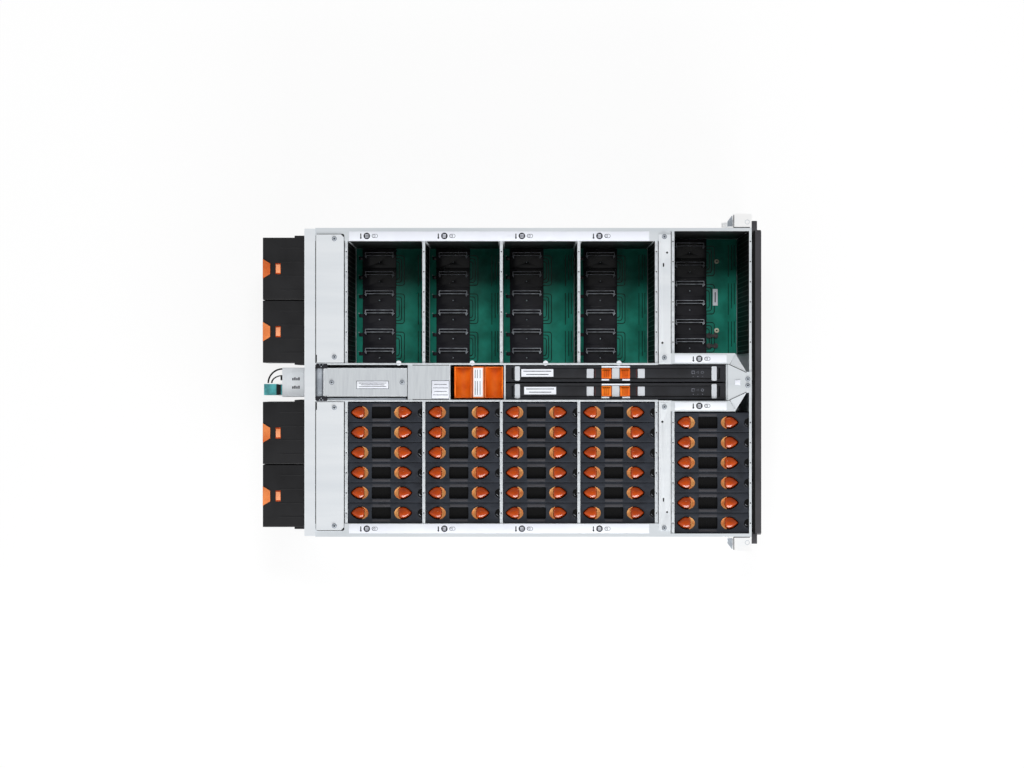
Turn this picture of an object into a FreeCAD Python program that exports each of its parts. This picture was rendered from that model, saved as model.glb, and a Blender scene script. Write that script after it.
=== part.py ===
import FreeCAD, Part
import math
import os

# Top-loading disk shelf: a steel tub with five rows of drive slots on each side
# of a centre tunnel, fans and power supplies at the rear, a bezel at the front.
# Millimetres.  Front is -Y, +Z is up, the origin is the middle of the underside.

V = FreeCAD.Vector

# ---------------------------------------------------------------- sheet metal
sheet = 1.2                # folded steel of the tub, tunnel and rear panel
cover_sheet = 1.2          # screwed-down covers
bend_radius = 2.0          # outside of the long bottom bends

# ---------------------------------------------------------------- hard drives
drive_length = 147.0       # 3.5-inch drive standing on its connector end
drive_width = 101.6
drive_thick = 26.1
drive_fit = 0.2            # drive to the carrier's legs
rows = 5                   # front to rear, row 1 is the front one
slots = 6                  # each side of the tunnel
drive_pitch = 28.8
carrier_gap = 0.6          # between neighbouring carriers
row_length = 106.8         # clear between two divider strips
row_clearance = 0.4        # carrier to strip, each end
cap_height = 9.0           # moulded cap over the drive
cap_chamfer = 1.2
handle_offset = 5.4        # middle of the two finger tabs, behind the cap's middle
tab_spacing = 62.8         # between the two finger tabs
tab_length = 23.0
tab_width = 17.0
tab_tip_width = 7.0
tab_slope = 3.0            # fall of the tab's top from its blunt end to its tip
tab_sink = 0.8             # tab's highest edge below the cap
tab_pocket = 6.0           # depth of the finger pocket
tab_margin = 1.4           # pocket round the tab
window_length = 26.6
window_width = 15.6
window_depth = 4.0
slot_margin = 1.6          # tunnel wall to the first carrier
liner_margin = 0.6         # last carrier to the side liner
front_row_shift = 14.4     # the front row stands half a pitch further out

# ---------------------------------------------------------------- depth, front to rear
front_lip = 3.6            # top fold of the front wall
strip_width = 4.2          # top strip of each divider
strip_sink = 0.8           # strips below the deck
divider_thick = 3.0
beam_width = 17.2
beam_gap = 1.2
beam_drop = 40.0
fan_bay = 42.1             # last divider to the rear channel
rear_bar = 15.5            # top fold of the rear panel
air_slot_side = 5.4        # solid edge of a divider beside each air slot
air_slot_end = 16.0        # solid edge above and below each air slot

# ---------------------------------------------------------------- height
rib_height = 3.0           # floor ribs under the boards
rib_width = 12.0
board_thick = 1.6
moulding_thick = 3.4
socket_height = 6.3
socket_length = 43.0
socket_width = 6.4
socket_offset = 5.0        # connector beside the middle of its slot
socket_from_rear = 35.4    # connector behind the front of its strip
moulding_width = 47.0
drive_rest = 0.5           # drive above its socket
carrier_sink = 3.0         # caps below the deck

# ---------------------------------------------------------------- tunnel and front
tunnel_clear = 52.0        # between the tunnel walls
side_cavity = 16.4         # between the side liner and the outer wall
front_flange = 4.5         # narrow top fold beside the front row
nose_length = 16.0         # sloping prow in front of the tunnel
nose_tip = 30.0            # width of the prow's front edge
nose_tongue = 4.0          # between the prow and the front wall
nose_fall = 3.0
nose_block = 6.0           # depth of the solid prow under its sloping faces
ridge_inset = 2.0          # level ridge inside the prow's edges
tray_height = 7.3
tunnel_start = 22.0        # front wall to the tunnel walls

# ---------------------------------------------------------------- modules
fan_height = 86.0
fan_length = 108.0
fan_bore = 80.0            # over the corners of the round duct
duct_sides = 28
fan_overhang = 58.0
fan_gap = 1.0              # between two fan modules
fan_first = 28.0           # middle of the shelf to the first fan module
fan_margin = 12.4          # last fan module to the side wall
fan_sink = 3.0             # fan tops below the deck
fan_fit = 0.5              # fan module in its cut-out
collar_length = 14.2
collar_step = 2.8
panel_gap = 0.4            # collars and cases behind the rear panel
frame_thick = 2.0          # moulded frame on the fan's rear face
frame_edge = 4.0
flap_length = 10.7
flap_wide = 28.0
flap_narrow = 15.0
flap_thick = 1.6
button_wide = 12.8
button_long = 6.7
button_back = 23.3
hub_radius = 17.0
hub_length = 24.0
blade_count = 7
blade_tip_gap = 1.6
blade_chord = 22.0
blade_thick = 2.2
blade_pitch = 38.0
spoke_width = 4.0
spoke_count = 3
motor_gap = 0.6            # rotor to the motor on its spider
pin_clearance = 0.08       # hinge pin in its bore

psu_width = 42.0
psu_sink = 11.8            # upper power supply below the deck
psu_overhang = 33.0
psu_fit = 0.5
plug_length = 8.0          # power socket between the board and a power supply
bail_thick = 2.2
bail_wide = 20.0           # outer strip
bail_long = 18.7
inner_bail_wide = 10.5
inner_bail_long = 14.4
bail_foot = -1.0           # where the bail's strips end beside the latch
blower_wide = 36.0
blower_high = 30.0
latch_wide = 14.0
latch_long = 22.0
latch_thick = 4.0
latch_pin = 1.5
latch_ear = 1.2
latch_side_gap = 0.3
latch_drop = 8.0           # latch pin below the top of the case

io_wide = 23.4
io_length = 314.4
io_gap = 2.0               # between the two modules
io_fit = 0.5
io_front = 37.2            # front wall to the modules
io_sink = 2.0
lever_wide = 15.0
lever_tips = 12.4          # between the pads of a module's two levers
lever_thick = 4.0
lever_bed = 6.0            # depth of the bed that the levers lie in
lever_end = 11.0           # end of the module to the lever
pad_length = 14.0
pad_rise = 0.8

baffle_length = 69.8
baffle_wide = 45.0
baffle_wall = 2.0
bulkhead = 2.4             # plates in front of and behind the modules
baffle_gap = 1.2           # behind the bulkhead
baffle_to_board = 17.9     # baffle to the power board
baffle_flat = 19.0
baffle_scoop = 9.0

# ---------------------------------------------------------------- ports, covers, screws
cage_wide = 72.0
cage_high = 12.0
cage_deep = 40.0
cage_z = 14.0
cage_inset = 6.0
cage_ports = 4
vent_count = 5
vent_step = 18.0
vent_wide = 12.0
inlet_wide = 27.0
inlet_high = 20.0
inlet_deep = 14.0
inlet_edge = 4.0
cover_back = 11.5          # rear channel to the narrow tunnel cover
long_cover = 119.7
short_cover = 62.0
cover_fold = 6.0
plate_corner = 4.0
plate_screw_inset = 9.0    # tunnel wall to the rear plates' inner screws
plate_screw_outset = 2.0   # liner to their outer screws
plate_screw_y = 27.3       # rear channel to the same screws
beam_screw_inset = 8.0
beam_screw_outset = 5.0
beam_screw_y = 5.6         # rear edge of the beam to its screws
nose_screw_x = 4.6
nose_screw_y = 5.6
cover_screw_rear = 12.0
cover_screw_front = 7.0
screw_head = 3.0
screw_head_height = 1.6
screw_radius = 1.5
screw_clearance = 0.2
head_sides = 10
screw_sides = 6

# ---------------------------------------------------------------- bezel and ears
bezel_width = 436.5
bezel_margin = 1.5         # bezel's edges inside the shelf's top and underside
bezel_depth = 12.0
bezel_gap = 2.0
bezel_seat = 0.3           # side tabs in front of the rack ears
bezel_wall = 3.0
bezel_slots = 12
bezel_slot_width = 26.0
bezel_slot_height = 62.0
bezel_tab = 13.0
bezel_tab_depth = 6.0
ear_depth = 34.0
ear_short = 22.4           # lower gusset beside the outer edge
ear_top = 26.4             # depth of the level plates at the ears' ends
ear_step = 5.0             # sloping gussets inside the level plates
ear_sheet = 2.0
ear_margin = 0.5           # ears' ends inside the shelf's top and underside
ear_width = 20.3           # side wall to the ear's outer edge: 482.6 over a 19-inch rack's ears
ear_hole_edge = 8.75       # rack holes from the outer edge: 465.1 across
ear_hole_radius = 3.5
rack_hole_up = 101.6

# ---------------------------------------------------------------- worked out
slot_span = slots * drive_pitch
tunnel_half = tunnel_clear / 2 + sheet
first_edge = tunnel_half + slot_margin
liner_x = first_edge + slot_span + liner_margin
body_half = liner_x + sheet + side_cavity + sheet
panel_half = body_half + ear_width
rack_hole_across = 2 * (panel_half - ear_hole_edge)
front_edge = first_edge + front_row_shift
row_step = row_length + strip_width

strip_front_row = front_lip + row_length
beam_front = strip_front_row + strip_width + beam_gap
beam_rear = beam_front + beam_width
row_two = beam_rear + beam_gap + strip_width
last_strip_rear = row_two + (rows - 1) * row_step
tub_depth = last_strip_rear + fan_bay
body_depth = tub_depth + rear_bar
overall_depth = bezel_depth + bezel_gap + body_depth + fan_overhang + frame_thick
y_front = -overall_depth / 2 + bezel_depth + bezel_gap

board_z = sheet + rib_height
moulding_z = board_z + board_thick
socket_z = moulding_z + moulding_thick
drive_z = socket_z + socket_height + drive_rest
deck = drive_z + drive_length + cap_height + carrier_sink
bezel_height = deck - 2 * bezel_margin
ear_height = deck - 2 * ear_margin
carrier_length = row_length - 2 * row_clearance
carrier_thick = drive_pitch - carrier_gap
fan_width = (body_half - sheet - fan_margin - fan_first - fan_gap) / 2
lever_length = (io_length - 2 * lever_end - lever_tips) / 2
power_board_front = (io_front + io_length + io_fit + bulkhead + baffle_gap + baffle_length
                     + baffle_to_board)
psu_front_depth = power_board_front + board_thick + plug_length
psu_length = body_depth + psu_overhang - psu_front_depth
psu_height = (deck - psu_sink - tray_height - 2 * sheet - 3 * psu_fit) / 2


# ---------------------------------------------------------------- helpers
def box(x0, x1, y0, y1, z0, z1):
    """Box between two corners, whichever way round they are given."""
    x0, x1 = sorted((x0, x1))
    y0, y1 = sorted((y0, y1))
    z0, z1 = sorted((z0, z1))
    return Part.makeBox(x1 - x0, y1 - y0, z1 - z0, V(x0, y0, z0))


def prism(points, direction):
    """Flat polygon pushed along a direction."""
    return Part.Face(Part.makePolygon(points + points[:1])).extrude(direction)


def fuse(first, *others):
    return first.fuse(list(others)).removeSplitter()


def rod(radius, length, start, direction):
    return Part.makeCylinder(radius, length, start, direction)


def stud(radius, length, start, direction, sides=12):
    """Small round part drawn as an even-sided prism whose corners lie on the radius."""
    across = V(0, 0, 1) if abs(direction.z) < 0.5 else V(1, 0, 0)
    points = []
    for number in range(sides):
        turn = FreeCAD.Rotation(direction, 360 / sides * (number + 0.5))
        points.append(start + turn.multVec(across) * radius)
    return prism(points, direction * length)


def stud_bore(radius, length, start, direction, sides=12):
    """Hole that a stud of this radius turns in: its flats clear the stud's corners."""
    return stud((radius + pin_clearance) / math.cos(math.pi / sides), length, start, direction, sides)


def behind(distance):
    """Y of a plane this far behind the front wall's face."""
    return y_front + distance


def row_front(row):
    """Y of the front end of a row's clear length; row 1 is the front one."""
    if row == 1:
        return behind(front_lip)
    return behind(row_two + (row - 2) * row_step)


def slot_x(row, slot):
    """Distance of a slot's middle from the middle of the shelf; slot 1 is the inner one."""
    start = front_edge if row == 1 else first_edge
    return start + (slot - 0.5) * drive_pitch


def save(name, solids):
    solids = solids if isinstance(solids, list) else [solids]
    shape = solids[0] if len(solids) == 1 else Part.makeCompound(solids)
    shape.exportStep("parts/" + name + ".step")


# ---------------------------------------------------------------- tub
def chassis_tub():
    """Floor and side walls folded from one sheet with top flanges, and the front wall."""
    y0, y1 = behind(0), behind(tub_depth)
    outer = box(-body_half, body_half, y0, y1, 0, deck)
    long_edges = [e for e in outer.Edges if e.BoundBox.YLength > 1 and e.BoundBox.ZMax < 1e-6]
    outer = outer.makeFillet(bend_radius, long_edges)
    inside = body_half - sheet
    tub = outer.cut([
        box(-inside, inside, y0 - 1, y1 + 1, sheet, deck + 1),
    ])
    extras = []
    for side in (-1, 1):
        flange_start = behind(beam_front)
        extras.append(box(side * inside, side * (body_half - front_flange),
                          behind(front_lip), flange_start, deck - sheet, deck))
        extras.append(box(side * inside, side * liner_x, flange_start, y1, deck - sheet, deck))
        for slot in (2, slots - 1):
            middle = slot_x(2, slot)
            extras.append(box(side * (middle - rib_width / 2), side * (middle + rib_width / 2),
                              behind(front_lip), behind(last_strip_rear), sheet, board_z))
    return [fuse(tub, *extras), front_wall()]


def front_wall():
    """Vented wall welded between the sides, with a fold along its top."""
    inside = body_half - sheet
    wall = box(-inside, inside, behind(0), behind(sheet), sheet, deck)
    lip = box(-inside, inside, behind(0), behind(front_lip), deck - sheet, deck)
    return fuse(wall, lip).cut(front_vents())


def front_vents():
    """Air openings of the front wall, one in front of each pair of slots."""
    vents = []
    for side in (-1, 1):
        for pair in range(slots // 2):
            start = front_edge + 2 * pair * drive_pitch
            x0, x1 = start + air_slot_side, start + 2 * drive_pitch - air_slot_side
            vents.append(box(side * x0, side * x1, behind(-1), behind(sheet + 1),
                             board_z + air_slot_end, deck - air_slot_end))
    return vents


# ---------------------------------------------------------------- inner walls
def divider(side, strip_front, start, end):
    """Air-slotted wall between two rows with a flat strip folded over its top."""
    middle = behind(strip_front + strip_width / 2)
    inner = side * (start - slot_margin)
    outer = side * end
    top = deck - strip_sink
    wall = box(inner, outer, middle - divider_thick / 2, middle + divider_thick / 2, board_z, top)
    strip = box(inner, outer, behind(strip_front), behind(strip_front + strip_width), top - sheet, top)
    holes = []
    for pair in range(slots // 2):
        edge = start + 2 * pair * drive_pitch
        holes.append(box(side * (edge + air_slot_side), side * (edge + 2 * drive_pitch - air_slot_side),
                         middle - divider_thick, middle + divider_thick,
                         moulding_z + air_slot_end, top - air_slot_end))
    return fuse(wall, strip).cut(holes)


def bay_dividers():
    """Dividers on both sides of the tunnel and the liner outside the rear rows."""
    pieces = []
    for side in (-1, 1):
        pieces.append(divider(side, strip_front_row, front_edge, body_half - front_flange))
        for row in range(2, rows + 2):
            strip_front = row_two + (row - 2) * row_step - strip_width
            pieces.append(divider(side, strip_front, first_edge, liner_x))
        pieces.append(box(side * liner_x, side * (liner_x + sheet), behind(row_two),
                          behind(last_strip_rear - strip_width), board_z, deck - sheet))
    return pieces


def cross_beams():
    """Inverted channels between the front row and the rest."""
    pieces = []
    y0, y1 = behind(beam_front), behind(beam_rear)
    for side in (-1, 1):
        x0, x1 = side * (tunnel_half - sheet), side * (liner_x + sheet + side_cavity / 2)
        leg0, leg1 = side * (front_edge - slot_margin), side * (liner_x - liner_margin)
        plate = box(x0, x1, y0, y1, deck, deck + cover_sheet)
        pieces.append(fuse(
            plate.cut(screw_holes(plate)),
            box(leg0, leg1, y0, y0 + sheet, deck - beam_drop, deck),
            box(leg0, leg1, y1 - sheet, y1, deck - beam_drop, deck)))
    return pieces


# ---------------------------------------------------------------- centre tunnel
def nose_outline(grow):
    """Plan of the widened tunnel end and its prow, grown outwards by a distance."""
    half = front_edge - slot_margin + grow
    shoulder = behind(front_lip + nose_tongue + nose_length)
    tip = behind(front_lip + nose_tongue) - grow
    return half, shoulder, tip


def tunnel_wall(side):
    """Long wall on one side of the tunnel."""
    return box(side * tunnel_clear / 2, side * tunnel_half,
               behind(tunnel_start), behind(tub_depth), sheet, deck)


def centre_tunnel():
    """Two long walls, the trays inside them and the nose at the front end."""
    inner = tunnel_clear / 2
    y1 = behind(tub_depth)
    pieces = [tunnel_wall(-1), tunnel_wall(1)]
    pieces.append(box(-inner, inner, behind(io_front) - io_fit - bulkhead, y1,
                      tray_height, tray_height + sheet))
    low, high = psu_floors()
    psu_front = behind(psu_front_depth)
    pieces.append(box(-inner, inner, psu_front, y1, high - psu_fit - sheet, high - psu_fit))
    for y in (behind(io_front) - io_fit - bulkhead, behind(io_front + io_length) + io_fit):
        pieces.append(box(-inner, inner, y, y + bulkhead, tray_height + sheet, deck - io_sink))
    pieces.append(nose())
    return pieces


def nose():
    """Flanges beside the front row, the walls under them and the sloping prow."""
    half, shoulder, tip = nose_outline(0)
    wall_in = half - sheet
    rear = behind(beam_front)
    tip_half = nose_tip / 2
    top = deck + cover_sheet
    plate_points = [V(-half, rear, deck), V(-half, shoulder, deck), V(-tip_half, tip, deck),
                    V(tip_half, tip, deck), V(half, shoulder, deck), V(half, rear, deck)]
    plate = prism(plate_points, V(0, 0, cover_sheet))
    mouth = box(-tunnel_half, tunnel_half, behind(io_front) - io_fit - bulkhead, rear + 1, deck - 1, top + 1)
    tongue = box(-tip_half, tip_half, behind(0), tip, deck, top)
    skirt = []
    for side in (-1, 1):
        skirt.append(box(side * wall_in, side * half, shoulder, rear, sheet, deck))
        corner = V(side * half, shoulder, sheet)
        point = V(side * tip_half, tip, sheet)
        inward = V(-side * sheet, sheet, 0)
        skirt.append(prism([corner, point, point + inward, corner + V(-side * sheet, 0, 0)],
                           V(0, 0, deck - sheet)))
    skirt.append(box(-tip_half, tip_half, tip, tip + sheet, sheet, deck))
    prow_points = [V(-half, shoulder, deck), V(-tip_half, tip, deck),
                   V(tip_half, tip, deck), V(half, shoulder, deck)]
    prow = prism(prow_points, V(0, 0, -nose_block))
    cheeks = []
    for side in (-1, 1):
        cheeks.append(prism([V(side * half, shoulder, deck), V(side * wall_in, shoulder + sheet, deck),
                             V(side * ridge_start()[0], ridge_start()[1], deck),
                             V(side * ridge_start()[0], shoulder, deck)], V(0, 0, -nose_block)))
    body = fuse(plate, tongue, prow, *(skirt + cheeks))
    walls = [tunnel_wall(-1), tunnel_wall(1)]
    return body.cut([mouth] + walls + nose_slopes(half, shoulder, tip, top)
                    + screw_holes(plate.fuse(tongue)))


def ridge_start():
    """Plan place where the prow's level ridge begins, on the +X side."""
    return tunnel_half - ridge_inset, nose_outline(0)[1] + nose_length / 2


def nose_slopes(half, shoulder, tip, top):
    """Wedges that take the prow's outer corners down, in front of a mitre line."""
    wedges = []
    ridge_half = nose_tip / 2 - ridge_inset
    for side in (-1, 1):
        start_x, start_y = ridge_start()
        ridge_rear = V(side * start_x, start_y, top)
        ridge_tip = V(side * ridge_half, tip, top)
        corner = V(side * half, shoulder, top - nose_fall)
        run = ridge_tip - ridge_rear
        across = corner - ridge_rear
        a = ridge_rear - run * 2
        b = ridge_tip + run * 2
        c = b + across * 3
        d = a + across * 3
        wedge = prism([a, b, c, d], V(0, 0, nose_length * 4))
        mitre = prism([V(side, start_y, deck - nose_block), V(side * start_x, start_y, deck - nose_block),
                       V(side * (half + 1), shoulder - 1, deck - nose_block),
                       V(side * (half + 1), tip - 1, deck - nose_block),
                       V(side, tip - 1, deck - nose_block)], V(0, 0, nose_block + nose_length))
        wedges.append(wedge.common(mitre))
    return wedges


# ---------------------------------------------------------------- boards
def drive_backplanes():
    """Board and socket moulding under each row, and the connectors in the tunnel."""
    pieces = []
    for side in (-1, 1):
        for row in range(1, rows + 1):
            start = front_edge if row == 1 else first_edge
            y0 = row_front(row)
            x0, x1 = side * (start - slot_margin / 2), side * (start + slot_span)
            pieces.append(box(x0, x1, y0 + row_clearance, y0 + row_length - row_clearance,
                              board_z, moulding_z))
            pieces.append(socket_moulding(side, row, x0, x1))
    return pieces + tunnel_connectors()


def socket_moulding(side, row, x0, x1):
    """Black bar with one drive socket standing on it for each slot."""
    middle = row_front(row) + row_length - socket_from_rear
    bar = box(x0, x1, middle - moulding_width / 2, middle + moulding_width / 2, moulding_z, socket_z)
    sockets = []
    for slot in range(1, slots + 1):
        x = side * slot_x(row, slot) + socket_offset
        sockets.append(box(x - socket_width / 2, x + socket_width / 2,
                           middle - socket_length / 2, middle + socket_length / 2,
                           moulding_z, socket_z + socket_height))
    return fuse(bar, *sockets)


def tunnel_connectors():
    """Power board across the tunnel and the sockets that the modules plug into."""
    pieces = []
    psu_front = behind(psu_front_depth)
    inner = tunnel_clear / 2
    top_of_tray = tray_height + sheet
    low, high = psu_floors()
    plug = psu_front - plug_length
    pieces.append(box(-inner, inner, plug - board_thick, plug, top_of_tray, high + psu_height))
    for floor in (low, high):
        pieces.append(box(-psu_width / 4, psu_width / 4, plug, psu_front - psu_fit,
                          floor + psu_height / 4, floor + psu_height * 3 / 4))
    for side in (-1, 1):
        x = side * (io_gap + io_wide) / 2
        y = behind(io_front + io_length - moulding_width)
        pieces.append(box(x - socket_width, x + socket_width, y - moulding_width / 2,
                          y + moulding_width / 2, top_of_tray, io_floor() - io_fit))
    return pieces


# ---------------------------------------------------------------- drives
def bullet(length, width, tip_width, z, grow=0.0, blunt=0.0):
    """Six-sided plan of a finger tab; the tip points along +Y."""
    half, tip = width / 2 + grow, tip_width / 2 + grow
    back, front = -length / 2 - grow - blunt, length / 2 + grow
    return [V(-tip, back, z), V(tip, back, z), V(half, back + length / 3, z), V(tip, front, z),
            V(-tip, front, z), V(-half, back + length / 3, z)]


def drive():
    """Carrier, disk drive and two finger tabs, standing with the drive's end at z = 0."""
    top = drive_length + cap_height
    half_y, half_x = carrier_length / 2, carrier_thick / 2
    pocket = drive_width / 2 + drive_fit
    profile = [V(-half_x, -half_y, 0), V(-half_x, -pocket, 0), V(-half_x, -pocket, drive_length),
               V(-half_x, pocket, drive_length), V(-half_x, pocket, 0), V(-half_x, half_y, 0),
               V(-half_x, half_y, top), V(-half_x, -half_y, top)]
    carrier = prism(profile, V(carrier_thick, 0, 0))
    ridges = [e for e in carrier.Edges
              if e.BoundBox.ZMin > top - 1e-6 and e.BoundBox.YLength > carrier_length / 2]
    carrier = carrier.makeChamfer(cap_chamfer, ridges)
    cuts = [box(-window_width / 2, window_width / 2, handle_offset - window_length / 2,
                handle_offset + window_length / 2, top - window_depth, top + 1)]
    tabs = []
    for turn in (0, 180):
        place = FreeCAD.Placement(V(0, handle_offset, 0), FreeCAD.Rotation(V(0, 0, 1), turn))
        hole = prism(bullet(tab_length, tab_width, tab_tip_width, top - tab_pocket,
                            tab_margin, tab_margin), V(0, 0, tab_pocket + 1))
        tab = prism(bullet(tab_length, tab_width, tab_tip_width, top - tab_pocket),
                    V(0, 0, tab_pocket - tab_sink))
        back, front = -tab_length / 2, tab_length / 2
        tab_top = top - tab_sink
        slope = prism([V(-tab_width, back, tab_top), V(-tab_width, front, tab_top - tab_slope),
                       V(-tab_width, front, tab_top + 1), V(-tab_width, back, tab_top + 1)],
                      V(2 * tab_width, 0, 0))
        tab = tab.cut(slope)
        for shape in (hole, tab):
            shape.translate(V(0, tab_spacing / 2, 0))
            shape.Placement = place.multiply(shape.Placement)
        cuts.append(hole)
        tabs.append(tab)
    disk = box(-drive_thick / 2, drive_thick / 2, -drive_width / 2, drive_width / 2, 0, drive_length)
    return [carrier.cut(cuts), disk] + tabs


def drives():
    """One drive in every slot on the -X side."""
    pattern = drive()
    for row in range(1, rows + 1):
        for slot in range(1, slots + 1):
            spot = V(-slot_x(row, slot), row_front(row) + row_length / 2, drive_z)
            placed = []
            for shape in pattern:
                copy = shape.copy()
                copy.translate(spot)
                placed.append(copy)
            save("drive_row%d_slot%d" % (row, slot), placed)


# ---------------------------------------------------------------- rear panel
def psu_floors():
    """Undersides of the lower and the upper power supply."""
    low = tray_height + sheet + psu_fit
    return low, low + psu_height + 2 * psu_fit + sheet


def fan_floor():
    return deck - fan_sink - fan_height


def rear_panel():
    """Rear channel with its cut-outs, and a port cage on each side below the fans."""
    half = body_half - sheet
    y0, y1 = behind(tub_depth), behind(body_depth)
    low, high = psu_floors()
    top = deck + cover_sheet
    channel = box(-half, half, y0, y1, 0, top).cut([
        box(-half + sheet, half - sheet, y0 - 1, y1 - sheet, sheet, deck)])
    cuts = [box(-psu_width / 2 - psu_fit, psu_width / 2 + psu_fit, y0 - 1, y1 + 1,
                low - psu_fit, high + psu_height + psu_fit)]
    cages = []
    fan_end = fan_first + 2 * fan_width + fan_gap
    for side in (-1, 1):
        cuts.append(box(side * (fan_first - fan_fit), side * (fan_end + fan_fit), y0 - 1, y1 + 1,
                        fan_floor() - fan_fit, deck - fan_sink + fan_fit))
        cage_x0, cage_x1 = side * (fan_first + cage_inset), side * (fan_first + cage_inset + cage_wide)
        cuts.append(box(cage_x0, cage_x1, y1 - 2 * sheet, y1 + 1, cage_z, cage_z + cage_high))
        cages.append(port_cage(cage_x0, cage_x1, y1))
        first_vent = fan_first + cage_inset + cage_wide + vent_step
        for number in range(vent_count):
            x = side * (first_vent + number * vent_step)
            cuts.append(box(x - vent_wide / 2, x + vent_wide / 2, y1 - 2 * sheet, y1 + 1,
                            cage_z, fan_floor() - air_slot_end))
    return [channel.cut(cuts)] + cages


def port_cage(x0, x1, rear):
    """Metal cage with open ports that face the rear, seated in its cut-out."""
    cage = box(x0, x1, rear - cage_deep, rear, cage_z, cage_z + cage_high)
    x0, x1 = sorted((x0, x1))
    port = (x1 - x0 - sheet) / cage_ports
    holes = []
    for number in range(cage_ports):
        left = x0 + sheet + number * port
        holes.append(box(left, left + port - sheet, rear - cage_deep + sheet, rear + 1,
                         cage_z + sheet, cage_z + cage_high - sheet))
    return cage.cut(holes)


# ---------------------------------------------------------------- covers
def rear_cover_plates():
    """Two plates with clipped corners over the fans' inner ends."""
    plates = []
    for side in (-1, 1):
        x0, x1 = side * (tunnel_half + 1), side * (liner_x + sheet + side_cavity / 2)
        plate = box(x0, x1, behind(last_strip_rear + beam_gap), behind(tub_depth - beam_gap),
                    deck, deck + cover_sheet)
        corner = [e for e in plate.Edges if e.BoundBox.ZLength > cover_sheet / 2
                  and abs(e.BoundBox.YMin - plate.BoundBox.YMin) < 1e-6
                  and abs(abs(e.BoundBox.XMin) - abs(x1)) < 1e-6]
        plates.append(plate.makeChamfer(plate_corner, corner).cut(screw_holes(plate)))
    return plates


def tunnel_covers():
    """Narrow cover over the power supplies and a wider plate in front of it."""
    y_end = behind(tub_depth - cover_back)
    y_joint = y_end - long_cover
    half = psu_width / 2 - 1
    low, high = psu_floors()
    hat = fuse(
        box(-half, half, y_joint, y_end, deck - cover_sheet, deck),
        box(-half, -half + sheet, y_joint, y_end, high + psu_height + psu_fit, deck),
        box(half, half - sheet, y_joint, y_end, high + psu_height + psu_fit, deck))
    inner = tunnel_clear / 2
    wide = fuse(
        box(-inner, inner, y_joint - short_cover, y_joint - cover_sheet, deck - cover_sheet, deck),
        box(-inner, -inner + sheet, y_joint - short_cover, y_joint - cover_sheet,
            deck - cover_fold, deck),
        box(inner, inner - sheet, y_joint - short_cover, y_joint - cover_sheet,
            deck - cover_fold, deck))
    return [hat.cut(screw_holes(hat)), wide]


# ---------------------------------------------------------------- fans
def fan_module(side, number):
    """Square duct with its motor spider, rear frame, top flap and release button."""
    left = fan_first + (fan_width + fan_gap) * number
    x0, x1 = side * left, side * (left + fan_width)
    x_mid = (x0 + x1) / 2
    z0 = fan_floor()
    z1 = z0 + fan_height
    z_mid = (z0 + z1) / 2
    rear = behind(body_depth) + fan_overhang
    front = rear - fan_length
    case = box(x0, x1, front, rear, z0, z1)
    collar_side, collar_out = (x1, side * collar_step) if number else (x0, -side * collar_step)
    panel = behind(body_depth) + panel_gap
    collar = box(collar_side, collar_side + collar_out, panel, panel + collar_length, z0, z1)
    duct = stud(fan_bore / 2, fan_length + 2, V(x_mid, front - 1, z_mid), V(0, 1, 0), duct_sides)
    case = fuse(case, collar).cut(duct)
    spider_y = fan_spider_y()
    axis = V(0, 1, 0)
    motor = stud(hub_radius, spoke_width, V(x_mid, spider_y, z_mid), axis)
    spokes = []
    for turn in range(spoke_count):
        spoke = box(-spoke_width / 2, spoke_width / 2, spider_y, spider_y + spoke_width,
                    hub_radius / 2, fan_bore / 2 + spoke_width / 2)
        spoke.rotate(V(0, 0, 0), axis, 360 / spoke_count * turn)
        spoke.translate(V(x_mid, 0, z_mid))
        spokes.append(spoke)
    case = fuse(case, motor, *spokes)
    notch = box(x_mid - button_wide / 2, x_mid + button_wide / 2, rear - button_back,
                rear - button_back + button_long, z1 - frame_thick, z1 + 1)
    case = case.cut(notch)
    left, right = min(x0, x1), max(x0, x1)
    frame = box(x0, x1, rear, rear + frame_thick, z0, z1).cut(
        box(left + frame_edge, right - frame_edge, rear - 1, rear + frame_thick + 1,
            z0 + frame_edge, z1 - frame_edge))
    flap = prism([V(x_mid - flap_wide / 2, rear + frame_thick, z1),
                  V(x_mid + flap_wide / 2, rear + frame_thick, z1),
                  V(x_mid + flap_narrow / 2, rear + frame_thick - flap_length, z1),
                  V(x_mid - flap_narrow / 2, rear + frame_thick - flap_length, z1)],
                 V(0, 0, flap_thick))
    button = box(x_mid - button_wide / 2, x_mid + button_wide / 2, rear - button_back,
                 rear - button_back + button_long, z1 - frame_thick, z1 + frame_thick / 4)
    return [case, fuse(frame, flap), button], x_mid, z_mid


def fan_spider_y():
    """Front face of the motor spider, near the rear of the duct."""
    return behind(body_depth) + fan_overhang - 4 * spoke_width


def fan_rotor(x_mid, z_mid):
    """Hub with one pitched blade on every other flat, in front of the motor."""
    rear = fan_spider_y() - motor_gap
    axis = V(0, 1, 0)
    sides = 2 * blade_count
    hub = stud(hub_radius, hub_length, V(0, rear - hub_length, 0), axis, sides)
    flat = hub_radius * math.cos(math.pi / sides)
    reach = fan_bore / 2 - blade_tip_gap
    blades = []
    for number in range(blade_count):
        blade = box(-blade_thick / 2, blade_thick / 2, -blade_chord / 2, blade_chord / 2,
                    flat - blade_thick, math.sqrt(reach ** 2 - (blade_chord / 2) ** 2))
        blade.rotate(V(0, 0, 0), V(0, 0, 1), blade_pitch)
        blade.translate(V(0, rear - hub_length / 2, 0))
        blade.rotate(V(0, 0, 0), axis, 360 / blade_count * number)
        blades.append(blade)
    rotor = fuse(hub, *blades)
    rotor.translate(V(x_mid, 0, z_mid))
    return rotor


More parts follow.
